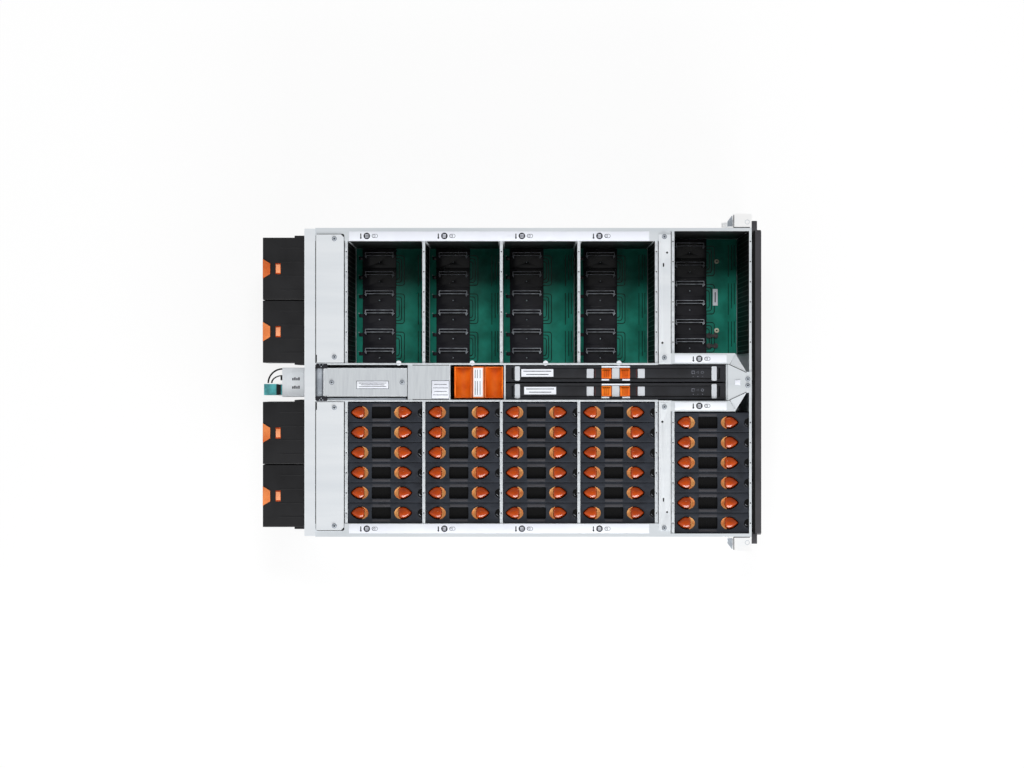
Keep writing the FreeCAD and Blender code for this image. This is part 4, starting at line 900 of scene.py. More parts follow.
class SHELF_OT_covers(bpy.types.Operator):
    """Builds the cross beams, the small brackets of the tunnel and every screw"""
    bl_idname = "shelf.covers"
    bl_label = "Beams and screws"

    def execute(self, context):
        sheet, black = "nickel_plated_sheet", "black_lens"
        low, high = extent("cross_beams")
        middle_y, width = (low.y + high.y) / 2, high.y - low.y
        beams = Assembly()
        inner, outer = 26.0, high.x
        middle_x, span = (inner + outer) / 2, outer - inner
        openings = [(56.5, middle_y + 3.4, 3.2, 3.2, 12), (185.6, middle_y - 3.3, 3.0, 3.0, 12),
                    (168, middle_y + 1.8, 5.6, 2.0, 4, 0.9)]
        beams.add(plate((middle_x, middle_y, span, width, 4, 0.8), openings, SHEET, 0.3), sheet,
                  both_sides=True, move=(0, 0, DECK))
        for y in (low.y, high.y - SHEET):
            beams.add(block((41.6, y, DECK - 40), (201.6, y + SHEET, DECK - 0.05), 0.3), sheet,
                      both_sides=True)
        # Painted shade: a black sheet under each beam, seen through its holes and slot.
        beams.add(block((45, low.y + 2, DECK - 2), (200, high.y - 2, DECK - 1.5)), black, both_sides=True)
        beams.piece("cross_beam_covers", slot="cover_steel", replaces=["cross_beams"])

        self.clips()
        self.screws()
        return {"FINISHED"}

    def clips(self):
        """Black latches with painted glints and the blue-grey leaf spring at the tunnel's rear, a black sheet
        under each rear cover plate that shows as a painted shadow round it, and strips of painted shade and
        highlight along the tunnel covers.
        """
        black, nylon, spring = "black_lens", "glass_filled_nylon", "blued_spring_steel"
        low, high = extent("rear_cover_plates")
        clips = Assembly()
        rear = TUB_HIGH.y
        for side in (-1, 1):
            clips.add(block((side * 19.8, rear - 17.4, DECK - 6), (side * 27.0, rear - 1.0, DECK + 0.9),
                            0.9), nylon)
            # Painted highlights: small light studs for the glints on the latches.
            for x, y in ((25.2, rear - 6.4), (22.6, rear - 8.6), (25.2, rear - 10.8)):
                clips.add(stud(0.8, side * x, y, DECK + 0.6, DECK + 1.3, 12, 0.2), spring)
            clips.add(block((side * 28.6, rear - 2.4, DECK + 0.02), (side * 39.4, rear - 0.9, DECK + 1.4),
                            0.2), black)
            # Painted shadow: a black sheet under each rear cover plate, showing round its edges.
            middle = side * (27.8 + high.x) / 2
            clips.add(plate((middle, (low.y + high.y) / 2, high.x - 26.2, high.y - low.y + 1.2, 4, 2.6),
                            [], 0.1), black, move=(0, 0, DECK + 0.02))
        steps = [math.radians(160 - 14 * step) for step in range(11)]
        crown = [(-20.6, rear - 5.7 + 5.6 * math.cos(a), DECK - 6.4 + 5.6 * math.sin(a)) for a in steps]
        clips.add(prism(crown, (41.2, 0, 0)), spring)
        front = extent("tunnel_covers")[0].y
        # Painted shade: black strips in the gaps beside the wide tunnel cover.
        for side in (-1, 1):
            clips.add(block((side * 24.1, front + 0.4, DECK - 0.2),
                            (side * 25.7, front + 54, DECK + 0.06)), black)
        back, joint = extent("tunnel_covers")[1].y, front + 62
        # Painted highlights: thin pale strips along the tunnel covers' edges.
        for low, high in (((19.3, joint + 0.4, DECK), (20.2, back - 0.2, DECK + 0.1)),
                          ((-20.2, joint + 0.4, DECK), (-19.3, back - 0.2, DECK + 0.1)),
                          ((-20, back - 1.1, DECK), (20, back - 0.2, DECK + 0.1)),
                          ((-25.6, front + 0.1, DECK), (25.6, front + 1.4, DECK + 0.1))):
            clips.add(block(low, high, 0.04), "nickel_plated_sheet")
        clips.add(block((-25.9, joint + 1, DECK - 5), (-22.4, back + 1, DECK - 3), 0.3), spring)
        clips.piece("tunnel_clips", slot="black_plastic")

    def screws(self):
        """Pan head screws with their sockets; a grey ring round each head is painted shade, and each socket
        has a black floor of painted shade.
        """
        steel, black = "phosphated_steel", "black_lens"
        screws = Assembly()
        cover = DECK + SHEET
        beam = extent("cross_beams")[1].y
        rear = extent("tunnel_covers")[1].y
        spots = [(0, rear - 12, DECK), (0, rear - 112.7, DECK)]
        for side in (-1, 1):
            for x in (36.2, 205.4):
                spots.append((side * x, TUB_HIGH.y - 27.3, cover))
            spots += [(side * 35.2, beam - 8, cover), (side * 208.4, beam - 8, cover),
                      (side * 4.6, behind(5.6), cover)]
        for spot in spots:
            head = turned([(0, -1.2), (1.5, -1.2), (1.5, 0), (3.0, 0), (3.0, 0.7), (2.6, 1.35), (1.9, 1.6),
                           (1.2, 1.6), (1.2, 0.8), (0, 0.8)], 20)
            screws.add(head, steel, move=spot)
            # Painted shade: grey ring round the head and black floor in the socket.
            screws.add(rod(3.5, spot, (spot[0], spot[1], spot[2] + 0.12), 24), "pale_ink")
            screws.add(stud(1.15, spot[0], spot[1], spot[2] + 0.8, spot[2] + 0.86, 6), black)
        screws.piece("pan_head_screws", slot="screw_steel", replaces=["screws"])


class SHELF_OT_labels(bpy.types.Operator):
    """Lays the white films along the drive rows and prints plain pictograms on them"""
    bl_idname = "shelf.labels"
    bl_label = "Row labels"

    def execute(self, context):
        film = "polyester_film"
        labels = Assembly()
        labels.add(block((202.6, behind(146.6), DECK), (216, behind(576.2), DECK + 0.22), 0.05), film,
                   both_sides=True)
        for row in ROWS[1:]:
            self.pictograms(labels, 209.5, row_middle(row) + 26, DECK + 0.22)
        nose = extent("centre_tunnel")[1].z
        labels.add(block((28.4, behind(36), nose), (39.4, behind(110), nose + 0.22), 0.05), film,
                   both_sides=True)
        self.pictograms(labels, 33.7, behind(75), nose + 0.22)
        front = extent("tunnel_covers")[0].y
        self.print_bars(labels, (-23, front + 2, DECK), (2, front + 26.2, DECK + 0.15), 4)
        self.print_bars(labels, (-8.6, front + 88.8, DECK), (1.4, front + 133.6, DECK + 0.15), 3)
        labels.piece("label_films", slot="ear_steel")
        return {"FINISHED"}

    def print_bars(self, labels, low, high, count):
        """Small white film with a few plain grey bars printed along it and a fine dark border."""
        labels.add(block((low[0] - 0.8, low[1] - 0.8, low[2]),
                         (high[0] + 0.8, high[1] + 0.8, high[2] - 0.05)), "pale_ink")
        labels.add(block(low, high, 0.05), "polyester_film")
        step = (high[0] - low[0]) / (count + 1)
        for number in range(count):
            x, reach = low[0] + (number + 1) * step, (high[1] - low[1]) * (0.44 - 0.07 * (number % 2))
            middle = (low[1] + high[1]) / 2
            labels.add(block((x - 0.45, middle - reach, high[2] - 0.05),
                             (x + 0.45, middle + reach, high[2] + 0.03)), "pale_ink")

    def pictograms(self, labels, x, y, z):
        """A thermometer, a dark disc with a window and an outlined pill, printed on both sides."""
        ink, pale = "screen_ink", "pale_ink"
        for side in (-1, 1):
            middle = side * x
            labels.add(stud(1.3, middle - 2.8, y + 8.6, z, z + 0.04, 16), ink)
            labels.add(plate((middle + 0.4, y + 8.6, 6.0, 1.6, 4, 0.6), [], 0.04), ink, move=(0, 0, z))
            labels.add(plate((middle, y, 9.4, 9.4, 28), [(middle, y, 5.0, 4.4, 4, 0.8)], 0.04), ink,
                       move=(0, 0, z))
            for bar in (-0.9, 0.9):
                labels.add(block((middle - 2.4, y + bar - 0.35, z),
                                 (middle + 2.4, y + bar + 0.35, z + 0.03)), pale)
                labels.add(block((middle + bar - 0.35, y - 2.1, z),
                                 (middle + bar + 0.35, y + 2.1, z + 0.04)), pale)
            pill = (middle, y - 11.4, 5.6, 8.6, 4, 2.6)
            labels.add(plate(pill, [(middle, y - 11.4, 4.4, 7.4, 4, 2.1)], 0.04), pale, move=(0, 0, z))
            labels.add(plate((middle, y - 9.8, 5.0, 5.0, 20), [(middle, y - 9.8, 3.6, 3.6, 20)], 0.05), pale,
                       move=(0, 0, z))
            labels.add(block((middle - 0.4, y - 10.8, z), (middle + 0.4, y - 8.8, z + 0.04)), pale)


class SHELF_OT_fans(bpy.types.Operator):
    """Builds the four fan modules and the wheels that turn in them"""
    bl_idname = "shelf.fans"
    bl_label = "Fans"

    def execute(self, context):
        for number in range(1, 5):
            low, high = extent("fan_module_%d" % number)
            wheel_low, wheel_high = extent("fan_rotor_%d" % number)
            middle = (wheel_low + wheel_high) / 2
            self.module(number, low, high, middle)
            self.wheel(number, wheel_low, wheel_high, middle, context.scene.shelf_sizes.blades)
        return {"FINISHED"}

    def module(self, number, low, high, middle):
        """Housing with its ribs, grille, hub on three spokes, orange frame, flap and button."""
        black, orange = "black_pbt", "orange_pbt"
        x, z = middle.x, middle.z
        width, height, bore = 89.2, 86.0, 79.6
        bottom, top = z - height / 2, z + height / 2
        rear = high.y - 2
        fan = Assembly()
        fan.add(standing(plate((x, z, width, height, 4, 1.5), [(x, z, bore, bore, 56)], rear - low.y, 0.6),
                         low.y), black)
        left, right = min(low.x, x - width / 2), max(high.x, x + width / 2)
        panel = extent("rear_panel")[1].y + 0.4
        for x0, x1 in ((left, x - width / 2 + 1), (x + width / 2 - 1, right)):
            if x1 - x0 > 2:
                fan.add(block((x0, panel, bottom + 1), (x1, panel + 14.2, top - 0.2), 0.5), black)
        for step in (-30, -10, 10, 30):
            fan.add(block((x + step - 1, low.y + 4, top - 0.3), (x + step + 1, rear - 22, top + 0.25),
                          0.2), black)
        grille = honeycomb(14, 17, 6.4, 1.2, 1.6, lambda a, b: math.hypot(a, b) < 39.5)
        fan.add(placed(standing(grille, rear - 4), (x, 0, z)), black)
        hub = middle.y + 12.6
        fan.add(rod(17, (x, hub, z), (x, hub + 4, z), 36, 0.6), black)
        for turn in range(3):
            spoke = block((-2, 0, 12), (2, 4, 40.4), 0.5)
            fan.add(placed(spoke, (x, hub, z), turn * math.pi * 2 / 3, "Y"), black)
        fan.add(standing(plate((x, z, width, height, 4, 1.5), [(x, z, width - 4, height - 4, 4, 1.2)], 1.9),
                         rear), black)
        fan.add(standing(plate((x, z, width - 4.2, height - 4.2, 4, 2),
                               [(x, z, width - 10, height - 10, 4, 4)], 2, 0.4), rear), orange)
        end = high.y
        flap = prism([(x - 14, end, top), (x + 14, end, top), (x + 7.5, end - 10.7, top),
                      (x - 7.5, end - 10.7, top)], (0, 0, 1.55), 0.35)
        fan.add(flap, orange)
        for rib in (-6, 0, 6):
            fan.add(block((x + rib - 0.8, end - 8.5, top + 1.3), (x + rib + 0.8, end - 2, top + 1.6),
                          0.1), orange)
        fan.add(block((x - 7.8, rear - 23.6, top - 0.3), (x + 7.8, rear - 16.3, top + 0.1), 0.1),
                "orange_abs")
        fan.add(block((x - 6.0, rear - 23.2, top - 2), (x + 6.0, rear - 16.7, top + 0.5), 0.4), "peach_pbt")
        name = "fan_module_%d" % number
        fan.piece("fan_housing_%d" % number, name, "fan_plastic", [name])

    def wheel(self, number, low, high, middle, blades):
        """Wheel that turns about its own middle."""
        wheel = Assembly()
        black = "black_pc_abs"
        length = high.y - low.y
        hub = turned([(0, -length / 2), (13.5, -length / 2), (16.2, -length / 2 + 1.4),
                      (16.6, -length / 2 + 4), (16.6, length / 2), (0, length / 2)], 40)
        wheel.add(placed(hub, turn=-math.pi / 2, axis="X"), black)
        wheel.add(rod(9, (0, -length / 2, 0), (0, -length / 2 + 0.2, 0), 28), "polyester_film")
        for number_of_blade in range(blades):
            wheel.add(placed(self.blade(), turn=number_of_blade * 2 * math.pi / blades, axis="Y"), black)
        name = "fan_rotor_%d" % number
        wheel.piece("fan_wheel_%d" % number, name, "rotor_plastic", [name], move=tuple(middle))

    def blade(self):
        """Cambered blade whose pitch flattens from hub to tip."""
        form = bmesh.new()
        bmesh.ops.create_grid(form, x_segments=8, y_segments=8, size=0.5)
        for vert in form.verts:
            chord, reach = vert.co.x, vert.co.y + 0.5
            pitch = math.radians(52 - 20 * reach)
            length = (15 + 7 * reach) * chord
            camber = 2.4 * (0.25 - chord * chord)
            side = length * math.cos(pitch) + camber * math.sin(pitch)
            depth = length * math.sin(pitch) - camber * math.cos(pitch)
            vert.co = (side, depth, 15.5 + 22.3 * reach)
        bmesh.ops.solidify(form, geom=form.faces[:], thickness=1.5)
        return recalc(form)


class SHELF_OT_power(bpy.types.Operator):
    """Builds the two power supplies with their inlets, bails and latches"""
    bl_idname = "shelf.power"
    bl_label = "Power supplies"

    def execute(self, context):
        for name in ("lower", "upper"):
            self.supply("psu_" + name)
            self.latch("psu_latch_" + name)
        return {"FINISHED"}

    def supply(self, name):
        """Case with its inlet, grille, seams and vents, and the upper one's wire bails."""
        low = extent(name)[0]
        steel, black = "nickel_plated_sheet", "black_pbt"
        length, height, half = 220.0, 76.0, 21.0
        floor = low.z
        rear = low.y + length
        middle = floor + height / 2
        supply = Assembly()
        supply.add(block((-half, low.y, floor), (half, rear - 14, floor + height), 0.6), steel)
        inlet, mesh = floor + 14, floor + 43
        openings = [(0, inlet, 27, 20, 4, 2), (0, mesh, 36, 30, 4, 1.5)]
        supply.add(standing(plate((0, middle, 2 * half, height, 4, 1.0), openings, 14.2, 0.4),
                            rear - 14.2), steel)
        supply.add(block((-13.4, rear - 13.9, inlet - 9.8), (13.4, rear - 11, inlet + 9.8), 0.4), black)
        shell = plate((0, inlet, 26.6, 19.6, 4, 3), [(0, inlet, 23.4, 16.4, 4, 3)], 11)
        supply.add(standing(shell, rear - 11.6), black)
        for x, z in ((-6, 12), (6, 12), (0, 17)):
            supply.add(block((x - 1, rear - 11.2, floor + z - 2), (x + 1, rear - 3, floor + z + 2), 0.4),
                       "galvanised_strip")
        grille = honeycomb(8, 9, 4.6, 0.9, 1.2)
        supply.add(placed(standing(grille, rear - 3), (0, 0, mesh)), steel)
        supply.add(block((-18.4, rear - 14, mesh - 16), (18.4, rear - 13.4, mesh + 16)), "black_lens")
        for z in (30, 56):
            for x in (-18.9, 18.9):
                supply.add(rod(1.3, (x, rear - 0.1, floor + z), (x, rear + 0.5, floor + z), 12, 0.2), steel)
        top = floor + height
        supply.add(plate((-3, rear - 20, 35, 28, 4, 7), [(-3, rear - 20, 32.6, 25.6, 4, 6)], 0.35, 0.15),
                   steel, move=(0, 0, top - 0.05))
        for x in (5, -7):
            for step in range(4):
                y = rear - 25 + step * 2.9
                supply.add(block((x - 2.1, y, top - 0.05), (x + 2.1 - step % 2, y + 2.1, top + 0.04)),
                           "screen_ink")
        for number in range(9):
            y = low.y + 20 + number * 17
            for side in (-1, 1):
                supply.add(block((side * half, y, floor + 14), (side * (half + 0.02), y + 8, floor + 58)),
                           "black_lens")
        pin = top - 8
        foot = -1.0
        supply.add(block((foot + 4, rear - 0.5, pin - 4), (foot + 11, rear + 3, pin + 5), 0.6), "black_lens")
        for reach_x, reach_y in ((21.6, 22.3), (12.0, 17.3)) if name == "psu_upper" else ():
            wire = bent_wire(1.25, (reach_y - 1.25, 0, 0), (0, 0, 0), (0, 0, 1), math.pi / 2, 20)
            bmesh.ops.scale(wire, vec=((reach_x - 1.25) / (reach_y - 1.25), 1, 1), verts=wire.verts)
            supply.add(wire, "black_lens", move=(foot, rear, pin))
        for x in (-18.9, -3.2):
            supply.add(block((x - 0.1, rear - 1, pin - 3), (x + 1.1, rear + 6, pin + 3), 0.4), steel)
        supply.add(rod(1.45, (-18.4, rear + 3, pin), (-2.6, rear + 3, pin), 16), "galvanised_strip")
        supply.piece("power_supply_" + name[4:], name, "zinc_sheet", [name])

    def latch(self, name):
        """Ribbed paddle on its barrel."""
        low, high = extent(name)
        x0, x1 = low.x - 1.0, high.x + 1.2
        pivot, end = low.y + 2, high.y + 2.0
        z = low.z + 2
        teal = "teal_abs"
        latch = Assembly()
        profile = [(x0, pivot + 1.7, z - 1.9), (x0, end - 0.2, z - 1.9), (x0, end - 0.2, high.z),
                   (x0, end - 4, high.z), (x0, end - 8, z + 2), (x0, pivot + 1.7, z + 2)]
        latch.add(prism(profile, (x1 - x0, 0, 0), 0.7, 3), teal)
        latch.add(block((x0 + 0.4, pivot - 0.6, z + 1.7), (x1 - 0.4, pivot + 6.2, z + 2.2), 0.2),
                  "black_pbt")
        barrel = plate((0, 0, 4, 4, 24), [(0, 0, 3.05, 3.05, 24)], x1 - x0)
        latch.add(barrel, teal, turn=math.pi / 2, axis="Y", move=(x0, pivot, z))
        for step in range(4):
            y = pivot + 6.5 + step * 2
            latch.add(block((x0 + 2, y, z + 1.8), (x1 - 2, y + 0.9, z + 2.4), 0.25), teal)
        latch.piece("latch_paddle_" + name[10:], name, "teal_plastic", [name])


class SHELF_OT_modules(bpy.types.Operator):
    """Builds the two controller modules and their ejector levers"""
    bl_idname = "shelf.modules"
    bl_label = "Controller modules"

    def execute(self, context):
        for letter in "ab":
            self.module("io_module_" + letter)
            for end in ("front", "rear"):
                self.lever("io_lever_%s_%s" % (letter, end), end == "front")
        return {"FINISHED"}

    def module(self, name):
        """Case with a trough for its two levers, their pins, a grey catch and white edge strips."""
        low, high = extent(name)
        black, film = "black_powder_coat", "polyester_film"
        x, y = (low.x + high.x) / 2, (low.y + high.y) / 2
        width, length, top = high.x - low.x, high.y - low.y, high.z
        bed = top - 6
        module = Assembly()
        module.add(block((low.x, low.y, low.z), (high.x, high.y, bed), 0.4), black)
        module.add(plate((x, y, width, length, 4, 0.8), [(x, y, 16, length - 16, 4, 1.2)], 6, 0.4), black,
                   move=(0, 0, bed))
        for pin in (low.y + 11, high.y - 11):
            module.add(rod(1.45, (x - 8.6, pin, top - 3), (x + 8.6, pin, top - 3), 16), black)
        module.add(plate((x, y, 15.6, 10.6, 4, 0.6), [], 5.4, 0.4), "grey_nylon", move=(0, 0, bed - 0.2))
        module.add(block((high.x - 3.2, y - 20.4, top - 0.1), (high.x - 1.0, y + 20.4, top + 0.3), 0.1),
                   film)
        module.add(block((low.x + 0.6, low.y + 0.5, top - 0.1), (low.x + 1.1, high.y - 0.5, top + 0.1)),
                   "black_pc_abs")
        for end in (-1, 1):
            module.add(block((low.x + 1.6, y + end * 9.4, top - 0.1),
                             (low.x + 3.8, y + end * 20.4, top + 0.3), 0.1), film)
            face = low.y if end < 0 else high.y
            for level in range(6):
                z = low.z + 16 + level * 24
                module.add(block((x - 6, face - 0.1, z), (x + 6, face + 0.15, z + 12)), "black_lens")
        module.piece("controller_" + name[-1], name, "black_plastic", [name])

    def lever(self, name, front):
        """Lever on its barrel, with an orange end, a hinge bar, a grey square, and marks or a label."""
        low, high = extent(name)
        black, orange, pale = "black_powder_coat", "baffle_abs", "pale_ink"
        x, z = (low.x + high.x) / 2, low.z + 2
        half = (high.x - low.x) / 2 - 0.1
        hinge, tip = (low.y, high.y) if front else (high.y, low.y)
        way = 1 if front else -1
        top = low.z + 4
        lever = Assembly()
        lever.add(block((x - half, hinge + way * 3.8, low.z), (x + half, tip - way * 13.8, top), 0.6), black)
        barrel = plate((0, 0, 3.9, 3.9, 24), [(0, 0, 3.05, 3.05, 24)], 2 * half)
        lever.add(barrel, black, turn=math.pi / 2, axis="Y", move=(x - half, hinge + way * 2, z))
        lever.add(block((x - half, hinge + way * 3.4, low.z), (x + half, hinge + way * 5, top), 0.3), black)
        lever.add(block((x - half, tip - way * 14.2, low.z), (x + half, tip, high.z), 0.8, 3), orange)
        # Painted shade: a darker orange strip along one side of the orange end.
        lever.add(block((x + half - 3.2, tip - way * 13, high.z - 0.2),
                        (x + half - 1.8, tip - way * 1.6, high.z), 0.05), "orange_abs")
        for rib in range(3):
            y = tip - way * (4 + 3 * rib)
            lever.add(block((x - half + 1.6, y - 0.5, high.z - 0.3), (x + half - 1.6, y + 0.5, high.z),
                            0.12), orange)
        bar = hinge + way * 7.3
        lever.add(plate((x, bar, 20.6, 7.4, 4, 1.6), [], 0.9, 0.35), "grey_nylon", move=(0, 0, high.z - 0.4))
        lever.add(block((x - half + 1, bar - 3, top - 0.2), (x + half - 1, bar + 3, high.z), 0.2), black)
        square = hinge + way * 111.6
        lever.add(plate((x, square, 13.2, 10.0, 4, 0.8), [], 0.7, 0.2), "grey_nylon",
                  move=(0, 0, top - 0.2))
        # Painted shade: a black strip in the gap beside the grey square.
        lever.add(block((x - 6.4, square + way * 5.2, top - 0.2), (x + 6.4, square + way * 6.8, top + 0.2)),
                  "black_lens")
        lever.add(block((x - 6.4, square + way * 6.8, top - 0.2),
                        (x + 6.4, square + way * 7.3, top + 0.3), 0.1), "oxide_laminate")
        if front:
            for number in range(3):
                y = hinge + way * (24 + 6.6 * number)
                sides = (6, 3, 4)[number]
                lever.add(plate((x + 1.6, y, 4.4, 4.4, sides), [(x + 1.6, y, 3.2, 3.2, sides)], 0.05), pale,
                          move=(0, 0, top))
                lever.add(stud(0.7, x - 4.4, y, top, top + 0.1, 12), pale)
        else:
            shift = 4 if x < 0 else 0
            near, far = hinge + way * (13.0 + shift), hinge + way * (58.8 + shift)
            lever.add(block((x - 4.6, near, top), (x + 6.2, far, top + 0.15)), "polyester_film")
            for line, reach in ((3.2, 20), (-1.4, 16)):
                middle = (near + far) / 2
                lever.add(block((x + line - 0.6, middle - reach, top + 0.1), (x + line + 0.6, middle + reach,
                                top + 0.19)), pale)
        lever.piece("lever" + name[8:], name, "lever_plastic", [name])


class SHELF_OT_baffle(bpy.types.Operator):
    """Moulds the air baffle with its two scoops"""
    bl_idname = "shelf.baffle"
    bl_label = "Air baffle"

    def execute(self, context):
        low, high = extent("air_baffle")
        length, half, wall, scoop, flat = high.y - low.y, (high.x - low.x) / 2, 2.0, 19.0, 19.0
        chord = (length - flat) / 2
        abs_ = "baffle_abs"
        baffle = Assembly()
        top = bmesh.new()
        bmesh.ops.create_grid(top, x_segments=2, y_segments=72, size=0.5)
        for vert in top.verts:
            along = (vert.co.y + 0.5) * length
            near = min((abs(along - chord / 2), abs(along - length + chord / 2)))
            drop = 0.0
            if near < chord / 2:
                drop = scoop * math.sqrt(1 - (2 * near / chord) ** 2)
            vert.co = (vert.co.x * 2 * half, low.y + along, high.z - drop)
        raise_faces(top, (0, 0, -wall))
        baffle.add(top, abs_)
        for y in (low.y, high.y - wall):
            baffle.add(block((-half, y, low.z), (half, y + wall, high.z - wall / 2), 0.3), abs_)
        for x in (-half + 0.7, half - 0.7):
            baffle.add(block((x - 0.7, low.y, high.z - 12), (x + 0.7, high.y, high.z - 9.2), 0.3), abs_)
        middle = low.y + length / 2
        baffle.add(block((-21.6, middle - 6.7, high.z - 0.1), (21.6, middle + 8.5, high.z + 0.05)),
                   "peach_pbt")
        # Painted shade and highlight: red-brown lines at the grooves, and paler orange on the raised ridges
        # for the light on them.
        for groove, ridge in ((9.2, 10.9), (-7.6, -9.3)):
            baffle.add(block((-half, middle + groove - 0.6, high.z - 0.2), (half, middle + groove + 0.6,
                             high.z + 0.05)), "thick_orange_abs")
            baffle.add(block((-half, middle + ridge - 0.7, high.z - 3), (half, middle + ridge + 0.7,
                             high.z + 0.7), 0.4), "orange_pbt")
        baffle.add(block((-20.5, middle - 5.6, high.z - 0.05), (20.5, middle + 7.4, high.z + 0.12)),
                   "polyester_film")
        for x, width in ((-8, 20), (12, 12)):
            for line in (-2.4, 1.4, 4.6):
                baffle.add(block((x - width / 2, middle + line, high.z + 0.1),
                                 (x + width / 2, middle + line + 1, high.z + 0.16)), "pale_ink")
        baffle.piece("air_guide", "air_baffle", "orange_plastic", ["air_baffle"])
        return {"FINISHED"}


class SHELF_OT_bezel(bpy.types.Operator):
    """Moulds the bezel with its honeycomb behind rows of windows"""
    bl_idname = "shelf.bezel"
    bl_label = "Bezel"

    def execute(self, context):
        low, high = extent("bezel")
        front, rear = low.y, low.y + 12
        half, wall = high.x - 13, 3.0
        middle, height = (low.z + high.z) / 2, high.z - low.z
        black = "spark_finish_abs"
        bezel = Assembly()
        pitch = (2 * half - 4 * wall) / 12
        windows = [(-half + 2 * wall + (column + 0.5) * pitch, middle + level * 34, 26, 62, 4, 2)
                   for column in range(12) for level in (-1, 1)]
        bezel.add(standing(plate((0, middle, 2 * half - 2, height - 2, 4, 3), windows, wall), front), black)
        bezel.add(standing(plate((0, middle, 2 * half, height, 4, 3),
                                 [(0, middle, 2 * half - 2 * wall, height - 2 * wall, 4, 2)],
                                 rear - front - 0.6, 0.8), front + 0.6), black)
        # Painted shadow: a black strip along the bezel's top rear edge, where the tub's front lip shades it.
        bezel.add(block((-half + 1, rear - 3.2, high.z - 1), (half - 1, rear + 0.02, high.z + 0.06)),
                  "black_lens")
        cell = context.scene.shelf_sizes.grille_cell / MM

        def seen(x, z):
            return any(abs(x - w[0]) < (w[2] + cell) / 2 and abs(z + middle - w[1]) < (w[3] + cell) / 2
                       for w in windows)

        comb = honeycomb(int(2 * half / cell), int(height / cell * 1.15), cell, 1.3, 1.2, seen)
        bezel.add(placed(standing(comb, front + wall), (0, 0, middle)), black)
        for side in (-1, 1):
            bezel.add(block((side * (half - wall), rear - 6, low.z + height / 3),
                            (side * high.x, rear + 1.7, high.z), 0.8), black)
            bezel.add(rod(4, (side * (half + 6), rear - 7.2, middle + 40), (side * (half + 6), rear - 5.5,
                          middle + 40), 24, 0.5), "black_lens")
        bezel.piece("bezel_moulding", "bezel", "bezel_plastic", ["bezel"])
        return {"FINISHED"}


class SHELF_OT_ports(bpy.types.Operator):
    """Fills the rear ports with their contact tongues and shields"""
    bl_idname = "shelf.ports"
    bl_label = "Rear ports"

    def execute(self, context):
        rear = extent("rear_panel")[1].y
        ports = Assembly(both_sides=True)
        step = (72 - SHEET) / 4
        for number in range(4):
            left = 34 + SHEET + number * step
            middle = left + (step - SHEET) / 2
            ports.add(block((middle - 5.5, rear - 38, 19), (middle + 5.5, rear - 24, 20.4), 0.3),
                      "solder_mask")
            ports.add(block((left + 0.3, rear - 38.6, 15.4), (left + step - SHEET - 0.3, rear - 36, 24.6),
                            0.3), "black_pbt")
            for spring in (-4, 0, 4):
                ports.add(block((middle + spring - 1, rear - 6, 24.5),
                                (middle + spring + 1, rear + 0.4, 24.8)), "gold_flash")
        ports.piece("port_contacts", slot="zinc_sheet")
        return {"FINISHED"}


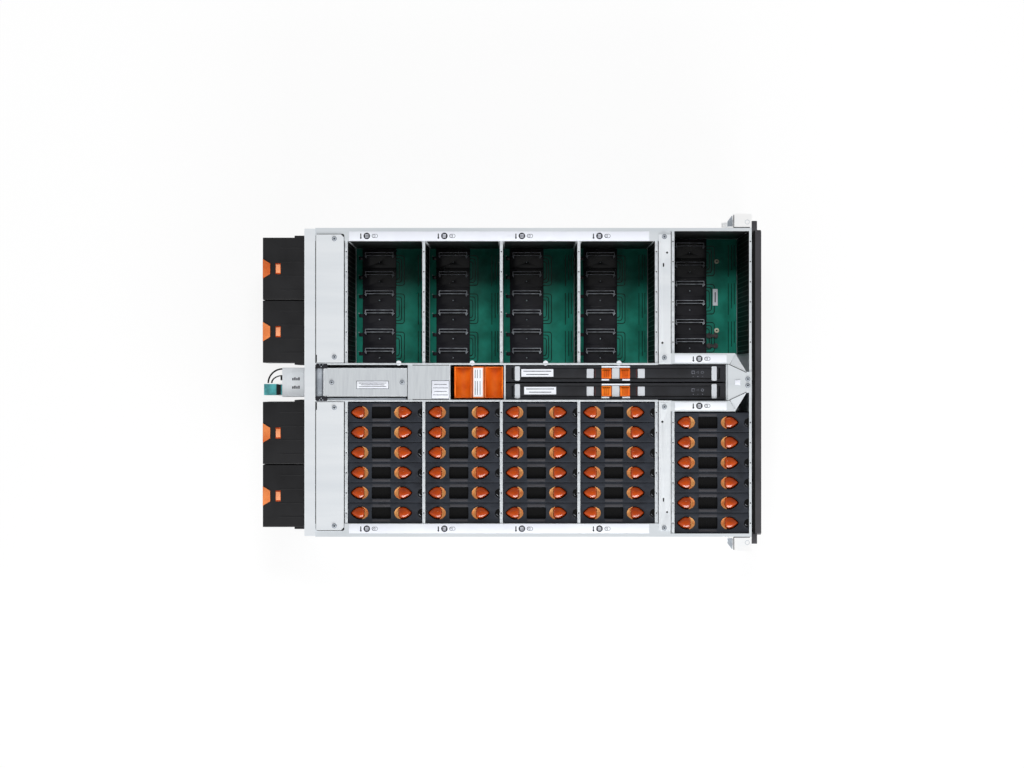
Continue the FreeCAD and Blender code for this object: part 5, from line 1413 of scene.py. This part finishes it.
class SHELF_OT_stage(bpy.types.Operator):
    """Lays the floor and sets the lamps, the sky and the camera"""
    bl_idname = "shelf.stage"
    bl_label = "Stage"

    def execute(self, context):
        scene = context.scene
        scene.view_settings.view_transform = "Standard"
        form = bmesh.new()
        bmesh.ops.create_grid(form, x_segments=1, y_segments=1, size=5.0)
        bmesh.ops.translate(form, vec=(0, 0, -0.0004), verts=form.verts)
        mesh = bpy.data.meshes.new("floor")
        form.to_mesh(mesh)
        form.free()
        mesh.materials.append(self.seamless_paper())
        floor = bpy.data.objects.new("floor", mesh)
        scene.collection.objects.link(floor)
        self.sky(scene)
        for name, place, size, length, power in (("overhead", (1.25, 0, 2.7), 0.7, 0.7, 38),
                                                 ("side", (-2.1, -0.4, 1.1), 0.7, 1.9, 44)):
            light = bpy.data.lights.new(name, "AREA")
            light.shape = "RECTANGLE"
            light.size = length
            light.size_y = size
            light.energy = power
            lamp = bpy.data.objects.new(name, light)
            lamp.location = place
            lamp.rotation_euler = Vector((-place[0], -place[1], -place[2])).to_track_quat("-Z",
                                                                                          "Y").to_euler()
            lamp.visible_camera = False
            lamp.visible_glossy = name == "side"
            scene.collection.objects.link(lamp)
        lens = bpy.data.cameras.new("camera")
        lens.sensor_width = SENSOR_MM
        lens.lens = LENS_MM
        camera = bpy.data.objects.new("camera", lens)
        camera.location = (-0.0024, 0, scene.shelf_sizes.camera_height)
        camera.rotation_euler = (0, 0, -math.pi / 2)
        scene.collection.objects.link(camera)
        scene.camera = camera
        return {"FINISHED"}

    def seen_plainly(self, tree):
        """1 for what the camera sees itself, in a mirror or through glass."""
        path = add_node(tree, "ShaderNodeLightPath")
        either = add_node(tree, "ShaderNodeMath", links={0: path.outputs["Is Camera Ray"],
                                                         1: path.outputs["Is Glossy Ray"]},
                          operation="MAXIMUM")
        return add_node(tree, "ShaderNodeMath", links={0: either.outputs[0],
                                                      1: path.outputs["Is Transmission Ray"]},
                        operation="MAXIMUM").outputs[0]

    def seamless_paper(self):
        """Matt white paper: even tone, lifted to white where it is seen, its shadow kept."""
        material = bpy.data.materials.new("seamless_paper")
        material.use_nodes = True
        tree = material.node_tree
        tree.nodes.clear()
        place = add_node(tree, "ShaderNodeTexCoord").outputs["Object"]
        fibres = add_node(tree, "ShaderNodeTexNoise", {"Scale": 300.0}, {"Vector": place}).outputs["Fac"]
        bump = add_node(tree, "ShaderNodeBump", {"Strength": 0.1, "Distance": 0.00005}, {"Height": fibres})
        paper = add_node(tree, "ShaderNodeBsdfPrincipled",
                         {"Base Color": bpy.context.scene.shelf_colours.floor, "Roughness": 0.9},
                         {"Normal": bump.outputs["Normal"]}).outputs["BSDF"]
        glow = add_node(tree, "ShaderNodeEmission", {"Color": (1, 1, 1, 1), "Strength": 1.0})
        share = add_node(tree, "ShaderNodeMath", {1: 0.85}, {0: self.seen_plainly(tree)},
                         operation="MULTIPLY")
        mixed = add_node(tree, "ShaderNodeMixShader", links={0: share.outputs[0], 1: paper,
                                                             2: glow.outputs[0]})
        add_node(tree, "ShaderNodeOutputMaterial", links={"Surface": mixed.outputs[0]})
        return material

    def sky(self, scene):
        """Bright walls, brightest on one side, and a dim ceiling, so that black plastics stay black."""
        world = bpy.data.worlds.new("sky")
        world.use_nodes = True
        tree = world.node_tree
        tree.nodes.clear()
        way = add_node(tree, "ShaderNodeTexCoord").outputs["Generated"]
        heading = add_node(tree, "ShaderNodeSeparateXYZ", links={"Vector": way})
        walls = add_node(tree, "ShaderNodeMapRange",
                         {"From Min": 0.5, "From Max": 0.95, "To Min": 0.6, "To Max": 0.22},
                         {"Value": heading.outputs["Z"]}, interpolation_type="SMOOTHSTEP")
        across = add_node(tree, "ShaderNodeMapRange", {"From Min": -1.0, "From Max": 1.0, "To Min": 1.5,
                                                       "To Max": 0.5}, {"Value": heading.outputs["X"]})
        strength = add_node(tree, "ShaderNodeMath", operation="MULTIPLY",
                            links={0: walls.outputs["Result"], 1: across.outputs["Result"]})
        light = add_node(tree, "ShaderNodeBackground", {"Color": (1, 1, 1, 1)},
                         {"Strength": strength.outputs[0]})
        add_node(tree, "ShaderNodeOutputWorld", links={"Surface": light.outputs[0]})
        scene.world = world


OPERATORS = (SHELF_OT_sheet_metal, SHELF_OT_dividers, SHELF_OT_boards, SHELF_OT_drives, SHELF_OT_covers,
             SHELF_OT_labels, SHELF_OT_fans, SHELF_OT_power, SHELF_OT_modules, SHELF_OT_baffle,
             SHELF_OT_bezel, SHELF_OT_ports, SHELF_OT_stage)


class SHELF_PT_panel(bpy.types.Panel):
    """Lists the sizes, the colours and every step of the making"""
    bl_idname = "SHELF_PT_panel"
    bl_label = "Disk shelf"
    bl_space_type = "VIEW_3D"
    bl_region_type = "UI"
    bl_category = "Disk shelf"

    def draw(self, context):
        for settings in (context.scene.shelf_sizes, context.scene.shelf_colours):
            for name in settings.__annotations__:
                self.layout.prop(settings, name)
        for operator in OPERATORS:
            self.layout.operator(operator.bl_idname)


CLASSES = (ShelfColours, ShelfSizes) + OPERATORS + (SHELF_PT_panel,)


def register():
    for made in CLASSES:
        bpy.utils.register_class(made)
    bpy.types.Scene.shelf_colours = PointerProperty(type=ShelfColours)
    bpy.types.Scene.shelf_sizes = PointerProperty(type=ShelfSizes)


def unregister():
    del bpy.types.Scene.shelf_sizes
    del bpy.types.Scene.shelf_colours
    for made in reversed(CLASSES):
        bpy.utils.unregister_class(made)


def main():
    register()
    for operator in OPERATORS:
        group, step = operator.bl_idname.split(".")
        getattr(getattr(bpy.ops, group), step)()


if __name__ == "__main__":
    main()
